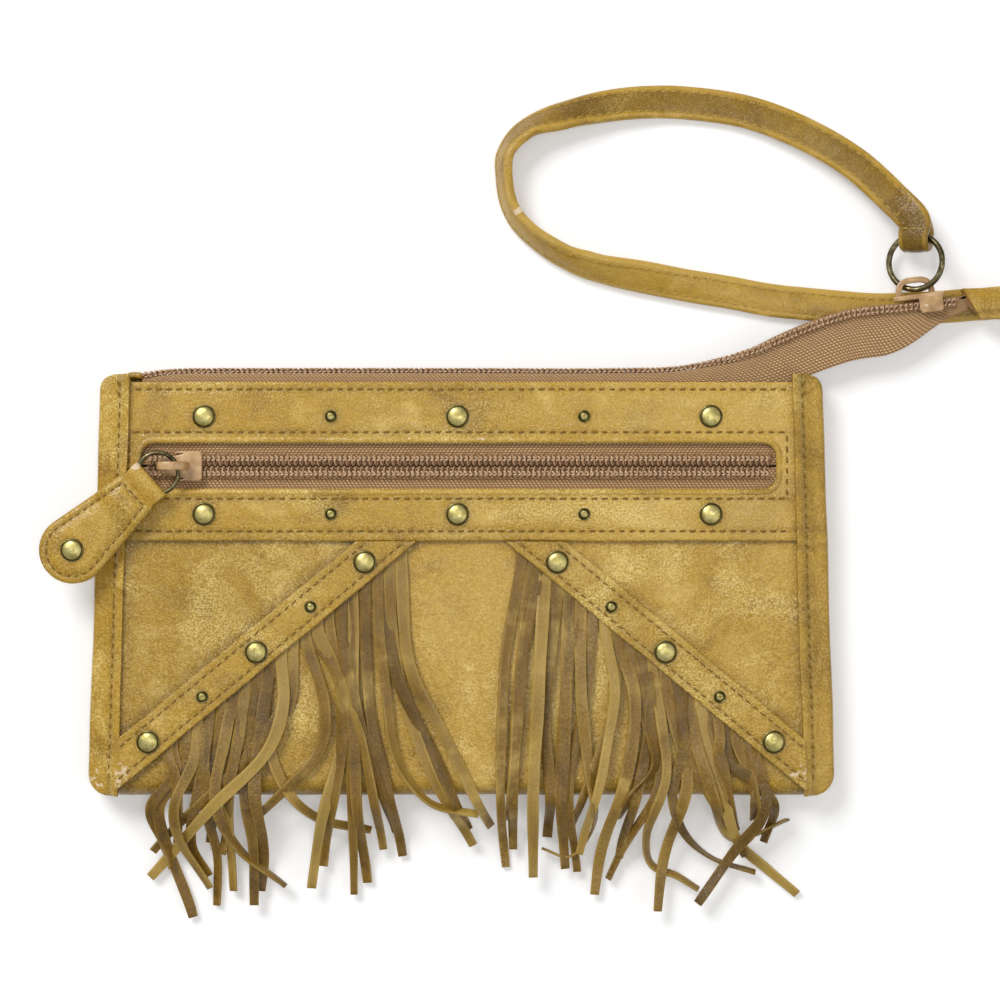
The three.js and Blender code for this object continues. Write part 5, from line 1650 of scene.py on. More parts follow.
def chain_place(u, v, n):
    point = CHAIN.at(u)
    ahead = CHAIN.tangent_at(u)
    length = math.hypot(ahead.x, ahead.y)
    return Vector((point.x - v * ahead.y / length, point.y + v * ahead.x / length, point.z + n))


def make_top_tape(side):
    word = "front" if side > 0 else "back"
    columns, rows = 190, 18
    tape = blank(f"top_{word}_tape_cloth", columns, rows)

    def place(u, v):
        x = CHAIN.at(u).x
        across = tape_across(x, v, side)
        loose = smooth(60, 90, x)
        wave = 0.35 * relief(x, v * 9, 11, side * 2.0) * loose * smooth(0.2, 0.6, v)
        edge_wave = 0.25 * relief(x, 0, 19, 6.0) * loose * v
        return chain_place(u, across.x + edge_wave, across.y + side * (abs(wave) + 0.05))

    lay_out(tape, place, CHAIN.length, TAIL_WIDTH)
    face_out_from(tape, Vector((0, 55, CHAIN_Z_TAIL)))
    tail = [face for face in tape.data.polygons if face.center.x / MM > 90]
    if side * sum(face.normal.z * face.area for face in tail) < 0:
        tape.data.flip_normals()
    thicken(tape, 0.4, edge=0.1, segments=1, offset=0.0)
    return finish_piece(tape, "bag", finishes()["tape"], [f"top_{word}_tape"], 60)


def make_top_coil(side):
    """One coil of the mouth's chain, sewn to the outside of its tape's first strip."""
    word = "front" if side > 0 else "back"
    length = CHAIN.length * COIL_SHARE

    def at(share, run, lift):
        u = share * COIL_SHARE
        x = CHAIN.at(u).x
        start = tape_stop(x, 0, 1)
        along = (tape_stop(x, 1, 1) - start).normalized()
        across = start.x + along.x * run + along.y * lift
        level = start.y + along.y * run - along.x * lift
        return chain_place(u, across, side * level)

    middle = COIL_SETBACK + TOP_COIL_WIDTH / 2
    lift = TAPE / 2 + 0.2 + COIL_HEIGHT / 2
    wide = TOP_COIL_WIDTH / 2 - COIL_WIRE + 0.15
    tall = COIL_HEIGHT / 2 - COIL_WIRE + 0.1

    def centre_at(share):
        shifted = min(max(share + 0.25 * side * TOOTH_PITCH / CHAIN.length, 0), 1)
        centre = at(shifted, middle, lift)
        out = (at(shifted, middle + 1, lift) - centre).normalized()
        rise = (at(shifted, middle, lift + 1) - centre).normalized()
        return centre, out, rise, wide, tall

    zip_coil(f"top_{word}_teeth", f"top_{word}_coil", centre_at, int(length / TOOTH_PITCH))
    braids = []
    for degrees in (-35, 55, 122) if side > 0 else (-12,):
        turn = math.radians(degrees)

        def row_at(share, turn=turn):
            centre, out, rise, a, b = centre_at(min(share, 0.999))
            ahead = out.cross(rise) * side
            across, up = out * math.cos(turn), rise * math.sin(turn)
            face = (across + up).normalized()
            place = centre + across * (a + 0.22) + up * (b + 0.24)
            return place, ahead.normalized(), face.cross(ahead).normalized(), face

        braids.append(braid(f"top_{word}_row", row_at, length, (0.9, 0.42), SINGLE_ROW))
    rows = join_pieces(f"top_{word}_braid", braids)
    return finish_piece(rows, "bag", finishes()["chain_thread"], (), 70)


# Pocket slider, with its bridge, and the ring in it
BRIDGE_LENGTH = 8.3
BRIDGE_WIDTH = 2.2
BRIDGE_THICKNESS = 1.2


def bevelled_plate(name, outline, low, high, edge=0.3, segments=3):
    """A flat plate of an outline, its edges rounded unless edge is 0."""
    count = len(outline)
    vertices = [(x, y, level) for level in (low, high) for x, y in outline]
    faces = [tuple(reversed(range(count))), tuple(range(count, 2 * count))]
    faces += [(i, (i + 1) % count, count + (i + 1) % count, count + i) for i in range(count)]
    plate = mesh_object(name, vertices, faces)
    if edge:
        bevel = plate.modifiers.new("Edge", "BEVEL")
        bevel.width = edge * MM
        bevel.segments = segments
        bevel.limit_method = "ANGLE"
        bevel.angle_limit = math.radians(45)
        apply_modifiers(plate)
    return plate


def slider_outline(length, front_half, back_half, neck_half, steps=6):
    """Plan of a slider plate: wide shoulders at the right, a waist, and a rounded nose."""
    half = length / 2
    corner = 1.1
    angles = [math.radians(90 * i / steps) for i in range(steps + 1)]
    top = [(half - corner + corner * math.cos(a), front_half - corner + corner * math.sin(a))
           for a in angles]
    top += [(half - 3.4, front_half), (0.6, mix(front_half, neck_half, 0.7)), (-1.0, neck_half)]
    top += [(-half + back_half * (1 - math.sin(a)), back_half * math.cos(a)) for a in angles]
    bottom = [(x, -y) for x, y in reversed(top[:-1])]
    return top + bottom


ARCH_SIDES = 12


def arch(name, reach, base, rise, power, across, through, steps):
    """A strap bent over from -X to X: it rises, runs level and comes down.

    Its power squares the bend. Across and through each give half the strap's size, along Y and
    through its thickness, and the power that squares its edges there.
    """
    line = []
    for i in range(steps + 1):
        a = math.pi * (1 - i / steps)
        level = base + math.sin(a) ** power * rise
        line.append(Vector((squared(math.cos(a), power) * reach, 0, level)))
    section = []
    for k in range(ARCH_SIDES):
        a = 2 * math.pi * (k + 0.5) / ARCH_SIDES
        section.append((squared(math.cos(a), across[1]) * across[0],
                        squared(math.sin(a), through[1]) * through[0]))
    sections = []
    for i, point in enumerate(line):
        ahead = (line[min(i + 1, steps)] - line[max(i - 1, 0)]).normalized()
        face = Vector((-ahead.z, 0, ahead.x))
        sections.append([point + Vector((0, y, 0)) + face * z for y, z in section])
    return face_outwards(sweep(name, sections))


def shift(obj, x=0.0, y=0.0):
    """Moves a piece's mesh by millimetres."""
    for vertex in obj.data.vertices:
        vertex.co.x += x * MM
        vertex.co.y += y * MM
    return obj


def make_pocket_slider():
    """Two plates on a post, lips that hold the coils, and a bridge for the ring."""
    low, high = SLIDER_LOW, SLIDER_HIGH
    length = high.x - low.x
    middle_x = (low.x + high.x) / 2
    half = (high.y - low.y) / 2
    plate_low = UPPER_COIL_HIGH.z + SEAM_GAP
    outline = slider_outline(length, half, 2.3, 2.75)
    top = bevelled_plate("slider_top", outline, plate_low, plate_low + 1.05, edge=0.38)
    bottom = bevelled_plate("slider_bottom", outline, low.z, low.z + 1.0, edge=0.3)
    post = bevelled_plate("slider_post", [(-4.7, -0.35), (-4.7, 0.35), (-3.4, 0.2), (-3.4, -0.2)],
                          low.z + 0.5, plate_low + 0.5, edge=0)
    parts = [top, bottom, post]
    for side in (-1, 1):
        edge = [(-1.4, side * (half - 0.62)), (length / 2 - 0.7, side * (half - 0.55)),
                (length / 2 - 0.7, side * half), (-1.4, side * (half - 0.1))]
        parts.append(bevelled_plate("slider_lip", edge[::side], plate_low - 1.3, plate_low + 0.4,
                                    edge=0.12, segments=1))
    base = plate_low + 0.5
    half_strap = BRIDGE_THICKNESS / 2
    bridge = arch("slider_bridge", BRIDGE_LENGTH / 2 - half_strap, base,
                  high.z - base - half_strap, 0.55, (BRIDGE_WIDTH / 2, 0.45), (half_strap, 0.6), 14)
    parts.append(shift(bridge, x=(BRIDGE_LENGTH - length) / 2))
    slider = shift(join_pieces("pocket_slider_enamel", parts), middle_x, CHAIN_Y)
    face_outwards(slider)
    paint(slider, "wear_and_glint", lambda p: 0.30 * smooth(0.45, 0.9, relief(p.x, p.y, 2.2, p.z)) + 0.12)
    enamel = finishes()["enamel"]
    return finish_piece(slider, "pocket_slider", enamel, ["pocket_slider"], 40)


def ring_tube(name, centre, radius, wire, across, up, segments=96, sides=14):
    """A round wire ring in the plane of two directions, with a faint joint."""
    normal = across.cross(up).normalized()
    turns = [2 * math.pi * k / sides for k in range(sides)]
    sections = []
    for i in range(segments):
        angle = 2 * math.pi * i / segments
        out = across * math.cos(angle) + up * math.sin(angle)
        size = wire * (1 - 0.10 * bump_at(min(i, segments - i), 0.6))
        sections.append([centre + out * radius + (out * math.cos(a) + normal * math.sin(a)) * size
                         for a in turns])
    return face_outwards(sweep(name, sections, closed=True))


PULL_RING_CENTRE = (RING_LOW + RING_HIGH) / 2
PULL_WIRE = (RING_HIGH.z - RING_LOW.z) / 2
PULL_RING_RADIUS = (RING_HIGH.x - RING_LOW.x) / 2 - PULL_WIRE


def make_pocket_ring():
    ring = ring_tube("pocket_ring_wire", PULL_RING_CENTRE, PULL_RING_RADIUS, PULL_WIRE * 0.98,
                     Vector((1, 0, 0)), Vector((0, 1, 0)))
    return finish_piece(ring, "pocket_ring", finishes()["ring"], ["pocket_ring"], 60)


# Leather pull
PULL_ANGLE = math.radians(222.1)
PULL_ALONG = Vector((math.cos(PULL_ANGLE), math.sin(PULL_ANGLE), 0))
PULL_ACROSS = Vector((-PULL_ALONG.y, PULL_ALONG.x, 0))
PULL_LEATHER = 0.8
TAB_LEATHER = 0.9
TAB_SHOULDER = 6.9
TAB_END = 29.5
TAB_END_RADIUS = 8.7
TAB_NECK_HALF = 5.75
TAB_SEAM = 1.9
PULL_LOW = TAB_LOW.z


def on_pull(s, v, z):
    return Vector((PULL_RING_CENTRE.x, PULL_RING_CENTRE.y, z)) + PULL_ALONG * s + PULL_ACROSS * v


def tab_half(s):
    """Half the tab's width at a distance from the ring's middle."""
    turn = math.asin((TAB_END_RADIUS - TAB_NECK_HALF) / (TAB_END - TAB_SHOULDER))
    tangent = TAB_END - TAB_END_RADIUS * math.sin(turn)
    if s <= tangent:
        share = (s - TAB_SHOULDER) / (tangent - TAB_SHOULDER)
        return mix(TAB_NECK_HALF, TAB_END_RADIUS * math.cos(turn), share)
    return math.sqrt(max(TAB_END_RADIUS ** 2 - (s - TAB_END) ** 2, 0.0))


def tab_edge_distance(s, v):
    """Distance inside the tab's outline, about."""
    if s > TAB_END:
        return TAB_END_RADIUS - math.hypot(s - TAB_END, v)
    return min(tab_half(s) - abs(v), s - TAB_SHOULDER + 0.4)


def tab_top(s, v):
    """Face of the tab's front layer: raised over the neck, padded inside its stitches."""
    flat = PULL_LOW + 2 * TAB_LEATHER + SEAM_GAP
    raised = flat + 1.0 + SEAM_GAP
    level = mix(raised, flat, smooth(12.5, 17, s))
    inside = tab_edge_distance(s, v)
    level += 0.42 * smooth(TAB_SEAM, 4.2, inside) - 0.20 * bump_at(inside - TAB_SEAM, 0.5)
    level -= 0.55 * smooth(0.9, 0.0, inside)
    return level + 0.10 * relief(s, v, 5, 40)


def tab_place(top):
    end = TAB_END + TAB_END_RADIUS

    def place(u, v):
        t = 1 - (1 - u) ** 1.35
        s = mix(TAB_SHOULDER, end - 0.02, t)
        half = max(tab_half(s), 0.35)
        across = (2 * v - 1) * half
        if top:
            return on_pull(s, across, tab_top(s, across))
        inside = tab_edge_distance(s, across)
        return on_pull(s, across, PULL_LOW + 0.12 * smooth(1.2, 0.0, inside))

    return place


def pull_tone_and_shading(p):
    out = p - PULL_RING_CENTRE
    s, v = out.dot(PULL_ALONG), out.dot(PULL_ACROSS)
    inside = tab_edge_distance(s, v)
    # Painted highlight on the padded middle; painted shade along the stitches, at the rim and round the
    # rivet.
    seam = bump_at(inside - TAB_SEAM, 0.55)
    rim = smooth(0.7, 0.0, inside)
    rivet = bump_at(math.hypot(s - TAB_END, v) - BIG_RIVET, 1.0)
    middle = 0.45 * smooth(2.5, 5.0, inside) * (0.6 + relief(p.x, p.y, 7, 41))
    return middle - 0.5 * seam - 0.25 * rim - 0.55 * rivet


def make_pull_tab():
    """Front and back layers of the tab, and the rivet through them."""
    for top, word in ((True, "front"), (False, "back")):
        tab = blank(f"tab_{word}_leather", 54, 30)
        lay_out(tab, tab_place(top), TAB_END + TAB_END_RADIUS - TAB_SHOULDER, 2 * TAB_END_RADIUS)
        paint(tab, "tone", pull_tone_and_shading)
        paint(tab, "wear_and_glint", lambda p: 0.16 * smooth(0.2, 0.6, relief(p.x, p.y, 4, 43)))
        face_up(tab)
        edge, offset = (0.28, -1.0) if top else (0.22, 1.0)
        thicken(tab, TAB_LEATHER, edge=edge, offset=offset)
        finish_piece(tab, "pull_tab", finishes()["tan"], [f"pull_tab_{word}"], 60)
    x, y, level = on_pull(TAB_END, 0, tab_top(TAB_END, 0) - 0.1)
    make_rivet("tab_cap", "pull_rivet", "pull_tab", x, y, level, True)


def make_pull_neck():
    """Leather folded through the ring, its tails pressed together inside the tab."""
    rise = PULL_RING_CENTRE.z + PULL_WIRE + SEAM_GAP + PULL_LEATHER
    pressed = PULL_LOW + TAB_LEATHER + SEAM_GAP
    stops = (3.4, 4.2, 5.0, 5.8, 6.6, 7.4, 8.5, 10, 12)
    outer = [(s, mix(PULL_LOW, pressed, smooth(4.8, 6.4, s))) for s in reversed(stops)]
    middle = (PULL_LOW + rise) / 2
    half = (rise - PULL_LOW) / 2
    for degrees in range(-75, 76, 25):
        a = math.radians(degrees)
        outer.append((2.9 - 0.95 * math.cos(a), middle + half * math.sin(a)))
    outer += [(s, mix(rise, pressed + 1.0, smooth(4.8, 6.6, s))) for s in stops]
    neck = blank("neck_leather", len(outer) - 1, 16)

    def place(u, v):
        s, z = outer[int(round(u * (len(outer) - 1)))]
        across = (2 * v - 1) * mix(5.55, TAB_NECK_HALF - 0.4, smooth(3, 7, s))
        return on_pull(s, across, z + 0.12 * relief(s, across, 3, 45))

    lay_out(neck, place, 24, 2 * TAB_NECK_HALF)
    face_out_from(neck, on_pull(5.0, 0, middle))
    paint(neck, "tone", lambda p: 0.3 + 0.4 * relief(p.x, p.y, 5, 46))
    # A pale spot at the top corner of the fold is a painted highlight, kept in the layer of rubbed
    # places.
    corner = on_pull(2.6, -5.2, rise)
    paint(neck, "wear_and_glint", lambda p: 0.95 * bump_at((p - corner).length, 1.9)
          + 0.22 * smooth(0.2, 0.6, relief(p.x, p.y, 3, 47)))
    thicken(neck, PULL_LEATHER * 0.9, edge=0.2)
    return finish_piece(neck, "pull_tab", finishes()["tan"], ["pull_neck"], 60)


def pull_stitches():
    """Stitches round the tab's edge and across its shoulder."""
    stops = [mix(TAB_SHOULDER + 1.3, TAB_END - 1, i / 11) for i in range(12)]
    radius = TAB_END_RADIUS - TAB_SEAM
    turns = [math.pi * (0.5 - i / 24) for i in range(1, 24)]
    line = [(s, tab_half(s) - TAB_SEAM) for s in stops]
    line += [(TAB_END + radius * math.cos(a), radius * math.sin(a)) for a in turns]
    line += [(s, TAB_SEAM - tab_half(s)) for s in reversed(stops)]
    closing = [line[-1], line[0]]
    places = []
    for run, seed in ((line, 51), (closing, 52)):
        points = [on_pull(s, v, tab_top(s, v)) for s, v in run]
        places += stitch_run(points, None, pitch=2.2, length=1.5, width=0.44, seed=seed)
    return places


# Top slider, its arch and the strap ring
TOP_SLIDER_X = 119.2
ARCH_SETBACK = 0.6
TOP_SLIDER_LENGTH = 12.9
TOP_PLATE_V = 0.35
TOP_PLATE = 1.4
SLIDER_FACE = TAPE_FACE + SEAM_GAP
COIL_REACH = SLIDER_FACE + COIL_HEIGHT
# Turns a form made in the XZ plane so that its Z runs out from the chain's fold
UPRIGHT = Matrix(((1, 0, 0, 0), (0, 0, 1, TOP_PLATE_V), (0, -1, 0, 0), (0, 0, 0, 1)))
STRAP_RING_RADIUS = 7.15
STRAP_WIRE = 0.8
RING_TILT = math.radians(26)
RING_LEAN = math.radians(8)
RING_TURN = TAIL_ANGLE - RING_LEAN


def on_tail(x):
    return TAIL_START + TAIL_DIRECTION * ((x - TAIL_START.x) / TAIL_DIRECTION.x)


def tail_frame(x):
    """Matrix whose X runs along the tail, Y out from the fold and Z up, in millimetres."""
    place = on_tail(x)
    turn = Matrix.Rotation(TAIL_ANGLE, 4, "Z")
    return Matrix.Translation((place.x, place.y, CHAIN_Z_TAIL)) @ turn


def put(obj, matrix):
    for vertex in obj.data.vertices:
        vertex.co = (matrix @ (vertex.co / MM)) * MM
    return obj


def make_top_slider():
    """A plate over the fold of the chain, a block that grips it and a flat half-oval arch."""
    outer = COIL_REACH + SEAM_GAP + 0.95
    outline = slider_outline(TOP_SLIDER_LENGTH, outer, 1.9, outer * 0.82)
    plate = bevelled_plate("top_plate", outline, 0, TOP_PLATE, edge=0.4)
    parts = [put(plate, UPRIGHT)]
    block_x = (TOP_SLIDER_LENGTH - 6.2) / 2 - ARCH_SETBACK
    wall = ((3.1, 1.0), (3.1, -2.6), (2.6, -3.25), (-2.4, -3.25), (-3.1, -2.4), (-3.1, 1.0))
    hook = ((2.6, -2.7), (2.6, -3.3), (-2.6, -3.3), (-2.6, -2.7))
    for side in (-1, 1):
        for name, corners, inner, reach, edge, segments in (
                ("top_wall", wall, COIL_REACH + SEAM_GAP, outer, 0.28, 2),
                ("top_hook", hook, SLIDER_FACE, outer - 0.1, 0.12, 1)):
            low, high = sorted((side * inner, side * reach))
            corners = [(block_x + x, y) for x, y in corners]
            parts.append(face_outwards(bevelled_plate(name, corners, low, high, edge, segments)))
    bow = arch("top_arch", 4.35, 0.8, 4.5, 0.62, (0.8, 0.6), (0.78, 0.5), 20)
    parts.append(shift(put(bow, UPRIGHT), x=-ARCH_SETBACK))
    slider = join_pieces("top_slider_enamel", parts)
    put(slider, tail_frame(TOP_SLIDER_X))
    paint(slider, "wear_and_glint", lambda p: 0.25 * smooth(0.4, 0.9, relief(p.x, p.y, 2.4, p.z)) + 0.08)
    enamel = finishes()["enamel"]
    return finish_piece(slider, "top_slider", enamel, ["top_slider"], 40)


RING_DIRECTION = Vector((-math.sin(RING_TURN), math.cos(RING_TURN), 0))
RING_ROOT = on_tail(TOP_SLIDER_X - ARCH_SETBACK)
RING_FLOAT = TOP_PLATE_V + TOP_PLATE + 2 * SEAM_GAP + STRAP_WIRE
RING_CROSSING = Vector((RING_ROOT.x - TAIL_DIRECTION.y * RING_FLOAT,
                        RING_ROOT.y + TAIL_DIRECTION.x * RING_FLOAT, CHAIN_Z_TAIL))
RING_CENTRE = RING_CROSSING + RING_DIRECTION * STRAP_RING_RADIUS
RING_SIDEWAYS = Vector((math.cos(RING_TILT) * math.cos(RING_TURN),
                        math.cos(RING_TILT) * math.sin(RING_TURN), math.sin(RING_TILT)))


def make_strap_ring():
    ring = ring_tube("strap_ring_wire", RING_CENTRE, STRAP_RING_RADIUS, STRAP_WIRE * 0.98,
                     RING_SIDEWAYS, RING_DIRECTION)
    return finish_piece(ring, "strap_ring", finishes()["ring"], ["strap_ring"], 60)


# Wrist strap. Its route runs from under the end tab, back round the bend and out to the ring. Each
# place is x, y and a turn in degrees about the strap's own length, measured in the photo.
STRAP_ROUTE = (
    (144, 74.3, 0), (138, 74.1, 0), (132, 73.7, 0), (124, 73.1, 0), (108.6, 72.6, 0), (90.5, 74.1, 0),
    (82.2, 74.9, 0), (65.8, 77.8, 6), (49.2, 80.6, 24), (34.2, 83.7, 46), (26.4, 86.6, 58),
    (17.4, 92.8, 66), (13, 98.5, 70), (11.2, 107, 70), (11.6, 113.3, 66), (16.8, 119.5, 54),
    (26.7, 123.2, 34), (40.2, 126.2, 14), (56, 127, 2), (74.6, 124.4, 0), (89.2, 118.7, 0),
    (103.4, 109.9, 0), (112, 101.5, 0),
)
STRAP_WIDTH = 8.5
STRAP_THICKNESS = 2.2
STRAP_FOLD_WIDTH = 7.6
STRAP_FOLD_ROOM = 0.35
STRAP_END_LEVEL = 2.45
STRAP_RISE = (1.8, 3.2, 5.2, 6.8)
STRAP_FOLD_LIFT = 3.6
STRAP_FOLD_SETBACK = 0.9
STRAP_STEPS = 208
STRAP_SEAM = 0.62
STATION_LENGTH = 1.35
FOLD_STEPS = 8
TAIL_STEPS = 12


def strap_rest(sideways, thicknesswise):
    """Height of the strap's middle when its lowest edge rests on the ground."""
    return (STRAP_WIDTH / 2) * sideways + (STRAP_THICKNESS / 2) * thicknesswise + 0.05


def strap_level(index, turn):
    """Height of a place on the route: by hand at both ends, and resting on the ground between."""
    if index == 0:
        return STRAP_END_LEVEL
    if index == 1:
        return STRAP_END_LEVEL - 0.1
    raised = index - (len(STRAP_ROUTE) - len(STRAP_RISE))
    if raised >= 0:
        return STRAP_RISE[raised]
    angle = math.radians(abs(turn))
    return strap_rest(math.sin(angle), math.cos(angle))


def strap_frames():
    """Middle, sideways direction, face and half width at each station of the strap."""
    normal = RING_SIDEWAYS.cross(RING_DIRECTION).normalized()
    top = RING_CENTRE + RING_DIRECTION * STRAP_RING_RADIUS
    bend = STRAP_WIRE + SEAM_GAP + STRAP_FOLD_ROOM + STRAP_THICKNESS / 2
    points = [Vector((x, y, strap_level(i, turn))) for i, (x, y, turn) in enumerate(STRAP_ROUTE)]
    turns = [turn for _, _, turn in STRAP_ROUTE]
    over = top + normal * bend
    points.append(over + RING_DIRECTION * STRAP_FOLD_LIFT)
    points.append(over - RING_DIRECTION * STRAP_FOLD_SETBACK)
    turns += [-20, -math.degrees(RING_TILT)]
    route = Route(points)
    stations = []
    for i in range(STRAP_STEPS + 1):
        t = i / STRAP_STEPS
        point = route.raw(t)
        tangent = route.tangent(t)
        place = t * (len(turns) - 1)
        low = min(int(place), len(turns) - 2)
        turn = math.radians(mix(turns[low], turns[low + 1], smooth(0, 1, place - low)))
        flat = tangent.cross(Vector((0, 0, 1))).normalized()
        up = flat.cross(tangent).normalized()
        side = flat * math.cos(turn) + up * math.sin(turn)
        face = side.cross(tangent).normalized()
        point.z = max(point.z, strap_rest(abs(side.z), abs(face.z)))
        stations.append([point, side, face, STRAP_WIDTH / 2])
    end_side, end_face = -RING_SIDEWAYS, normal
    for back in range(FOLD_STEPS):
        share = 1 - back / FOLD_STEPS
        station = stations[-1 - back]
        station[1] = station[1].lerp(end_side, share).normalized()
        station[2] = station[2].lerp(end_face, share).normalized()
        station[3] = mix(STRAP_WIDTH, STRAP_FOLD_WIDTH, share) / 2
    main_count = len(stations)
    turn_centre = top - RING_DIRECTION * STRAP_FOLD_SETBACK
    for degrees in range(15, 181, 15):
        angle = math.radians(degrees)
        face = normal * math.cos(angle) - RING_DIRECTION * math.sin(angle)
        stations.append([turn_centre + face * bend, end_side.copy(), face, STRAP_FOLD_WIDTH / 2])
    gaps = (2 * bend, STRAP_THICKNESS + 1, STRAP_THICKNESS + SEAM_GAP)
    for i in range(1, TAIL_STEPS + 1):
        share = i / 4
        k = min(int(share), 2)
        gap = mix(gaps[max(k - 1, 0)], gaps[k], share - int(share)) if share < 3 else gaps[2]
        point, side, face, _ = stations[main_count - 1 - i]
        stations.append([point - face * gap, side.copy(), -face, STRAP_FOLD_WIDTH / 2])
    return stations, main_count


STATIONS, MAIN_COUNT = strap_frames()


def strap_crown(v):
    """Share of the strap's thickness: padded in the middle, pressed at its stitches, thin edges."""
    side = abs(2 * v - 1)
    pressed = 0.22 * bump_at(side - STRAP_SEAM, 0.12)
    return 1.0 + 0.16 * (1 - side ** 2) - pressed - 0.42 * smooth(0.84, 1.0, side)


def make_wrist_strap(rows):
    """Two folded layers sewn at both edges; top face, edges and underside in one closed form."""
    across = [k / (rows - 1) for k in range(rows)]
    around = [(v, 1) for v in across] + [(1 - v, -1) for v in across]
    sections = []
    for i, (point, side, face, half) in enumerate(STATIONS):
        ring = []
        run = i * STATION_LENGTH
        wobble = 0.16 * relief(run, 0, 9, 60)
        for k, (v, sign) in enumerate(around):
            width = half * (1 + 0.02 * relief(run, k, 6, 61))
            half_thick = STRAP_THICKNESS / 2 * strap_crown(v)
            out = (0.5 - v) * 2 * width + wobble
            ring.append(point + side * out + face * (sign * half_thick))
        sections.append(ring)
    strap = face_outwards(sweep("strap_leather_band", sections))
    layer = strap.data.attributes.new("tone", "FLOAT", "POINT")
    wear_and_glint_amount = strap.data.attributes.new("wear_and_glint", "FLOAT", "POINT")
    for i in range(len(STATIONS)):
        cracked = smooth(MAIN_COUNT - 22, MAIN_COUNT + 4, i)
        darker = mix(0.25, 0.6, smooth(110, 140, i))
        paler = mix(0.75, 0.0, smooth(92, 122, i))
        for k, (v, _) in enumerate(around):
            out = abs(2 * v - 1)
            edge = smooth(0.86, 1.0, out)
            tone = 0.4 * relief(i * STATION_LENGTH, k * 0.8, 10, 63) + paler - 0.5 * cracked
            # Lighter outside the stitch rows, with painted shade in the stitch grooves and at the
            # rounded edges; darker between the rows, more on the upper run.
            tone += 0.5 * smooth(0.66, 0.8, out) - 0.5 * bump_at(out - STRAP_SEAM, 0.10) - 0.3 * edge
            tone -= 1.2 * smooth(0.66, 0.5, out) * darker
            wear_and_glint = 0.95 * bump_at(i - 102, 1.5) * smooth(0.3, 0.8, 1 - 2 * v)
            wear_and_glint += 0.42 * cracked * smooth(0.0, 0.6, relief(i, k, 3, 64))
            wear_and_glint += 0.18 * edge * smooth(0.2, 0.7, relief(i, k, 7, 65))
            layer.data[i * len(around) + k].value = tone
            wear_and_glint_amount.data[i * len(around) + k].value = wear_and_glint
    leather = finishes()["strap"]
    return finish_piece(strap, "top_slider", leather, ["wrist_strap"], 60)


def strap_stitches():
    """Two rows on each face, and two short rows of stitches across the strap near its fold at the ring.
    """
    places = []
    start, end = 6, MAIN_COUNT - 12
    for row, seed in ((STRAP_SEAM, 71), (-STRAP_SEAM, 72)):
        half_thick = STRAP_THICKNESS / 2 * strap_crown(0.5 - row / 2)
        for sign in (1, -1):
            line = [point + side * (row * half) + face * (sign * half_thick)
                    for point, side, face, half in STATIONS[start:end]]

            def face_at(share, sign=sign):
                return STATIONS[start + int(share * (end - start - 1))][2] * sign

            places += stitch_run(line, None, face_at, pitch=2.6, length=1.8, width=0.42,
                                 seed=seed + sign)
    for row in range(2):
        point, side, face, half = STATIONS[MAIN_COUNT - 14 + 9 * row]
        top = point + face * (STRAP_THICKNESS / 2 * 1.08)
        line = [top + side * (half * w) for w in (-0.75, -0.4, 0, 0.4, 0.75)]
        places += stitch_run(line, None, lambda share, f=face: f, pitch=2.0, length=1.5, width=0.42,
                             seed=80 + row)
    return places


# Leather end of the top zip
END_TAB_X = 130.2
END_TAB_LENGTH = 17
END_TAB_WIDTH = 7.8
END_TAB_SLANT = 5
END_TAB_LEATHER = 1.0
END_TAB_FOLD = 1.9


def make_end_tab():
    """Leather folded at its far end over the ends of the tapes, with a crease along each side."""
    half_high = SLIDER_FACE + END_TAB_LEATHER
    tab = blank("end_tab_leather", 72, 20)
    start = on_tail(END_TAB_X)
    flat = END_TAB_LENGTH - END_TAB_FOLD
    legs = (
        (0.42, (0, half_high), (flat, half_high), 0),
        (0.58, (flat, half_high), (flat, -half_high), END_TAB_FOLD),
        (1, (flat, -half_high), (0, -half_high), 0),
    )

    def place(u, v):
        x, z = profile_place(u, legs)
        slant = (1 - v) * END_TAB_SLANT * (1 - x / END_TAB_LENGTH)
        swell = 0.35 * math.sin(math.pi * v) * smooth(0, 3, x)
        crease = -0.28 * bump_at(v - 0.22, 0.04) - 0.2 * bump_at(v - 0.86, 0.05)
        z += math.copysign(swell + crease, z) * (1 if abs(z) > 0.5 else 0)
        y = start.y + 1.9 - (1 - v) * END_TAB_WIDTH + 0.09 * relief(x, v * 8, 6, 90)
        return start.x + x + slant, y, CHAIN_Z_TAIL + z

    lay_out(tab, place, 2 * END_TAB_LENGTH, END_TAB_WIDTH)
    face_out_from(tab, Vector((start.x + 8, start.y - 2, CHAIN_Z_TAIL)))
    # Painted shade at the tab's open end and in its crease.
    paint(tab, "tone", lambda p: 0.5 * relief(p.x, p.y, 7, 91)
          - 0.5 * smooth(2.0, 0.0, p.x - END_TAB_X) - 0.5 * bump_at(p.y - (start.y - 4.2), 0.5))
    paint(tab, "wear_and_glint", lambda p: 0.25 * smooth(0.1, 0.6, relief(p.x, p.y, 4, 92)))
    thicken(tab, END_TAB_LEATHER, edge=0.25)
    return finish_piece(tab, "bag", finishes()["strap"], ["zip_end_tab"], 60)


def make_tape_ends():
    """The ends of both tapes, sewn together inside the leather tab."""
    start = on_tail(END_TAB_X)
    outline = [(start.x + x, start.y + y) for x, y in (
        (-1.2, -2.1), (1.5, -2.6), (5.6, -5.1), (14.2, -5.1), (14.2, 1.0), (2.4, 1.0), (-1.2, -0.7))]
    ends = bevelled_plate("tape_ends", outline, CHAIN_Z_TAIL - TAPE_FACE, CHAIN_Z_TAIL + TAPE_FACE,
                          edge=0.2, segments=2)
    return finish_piece(ends, "bag", finishes()["tape"], (), 50)


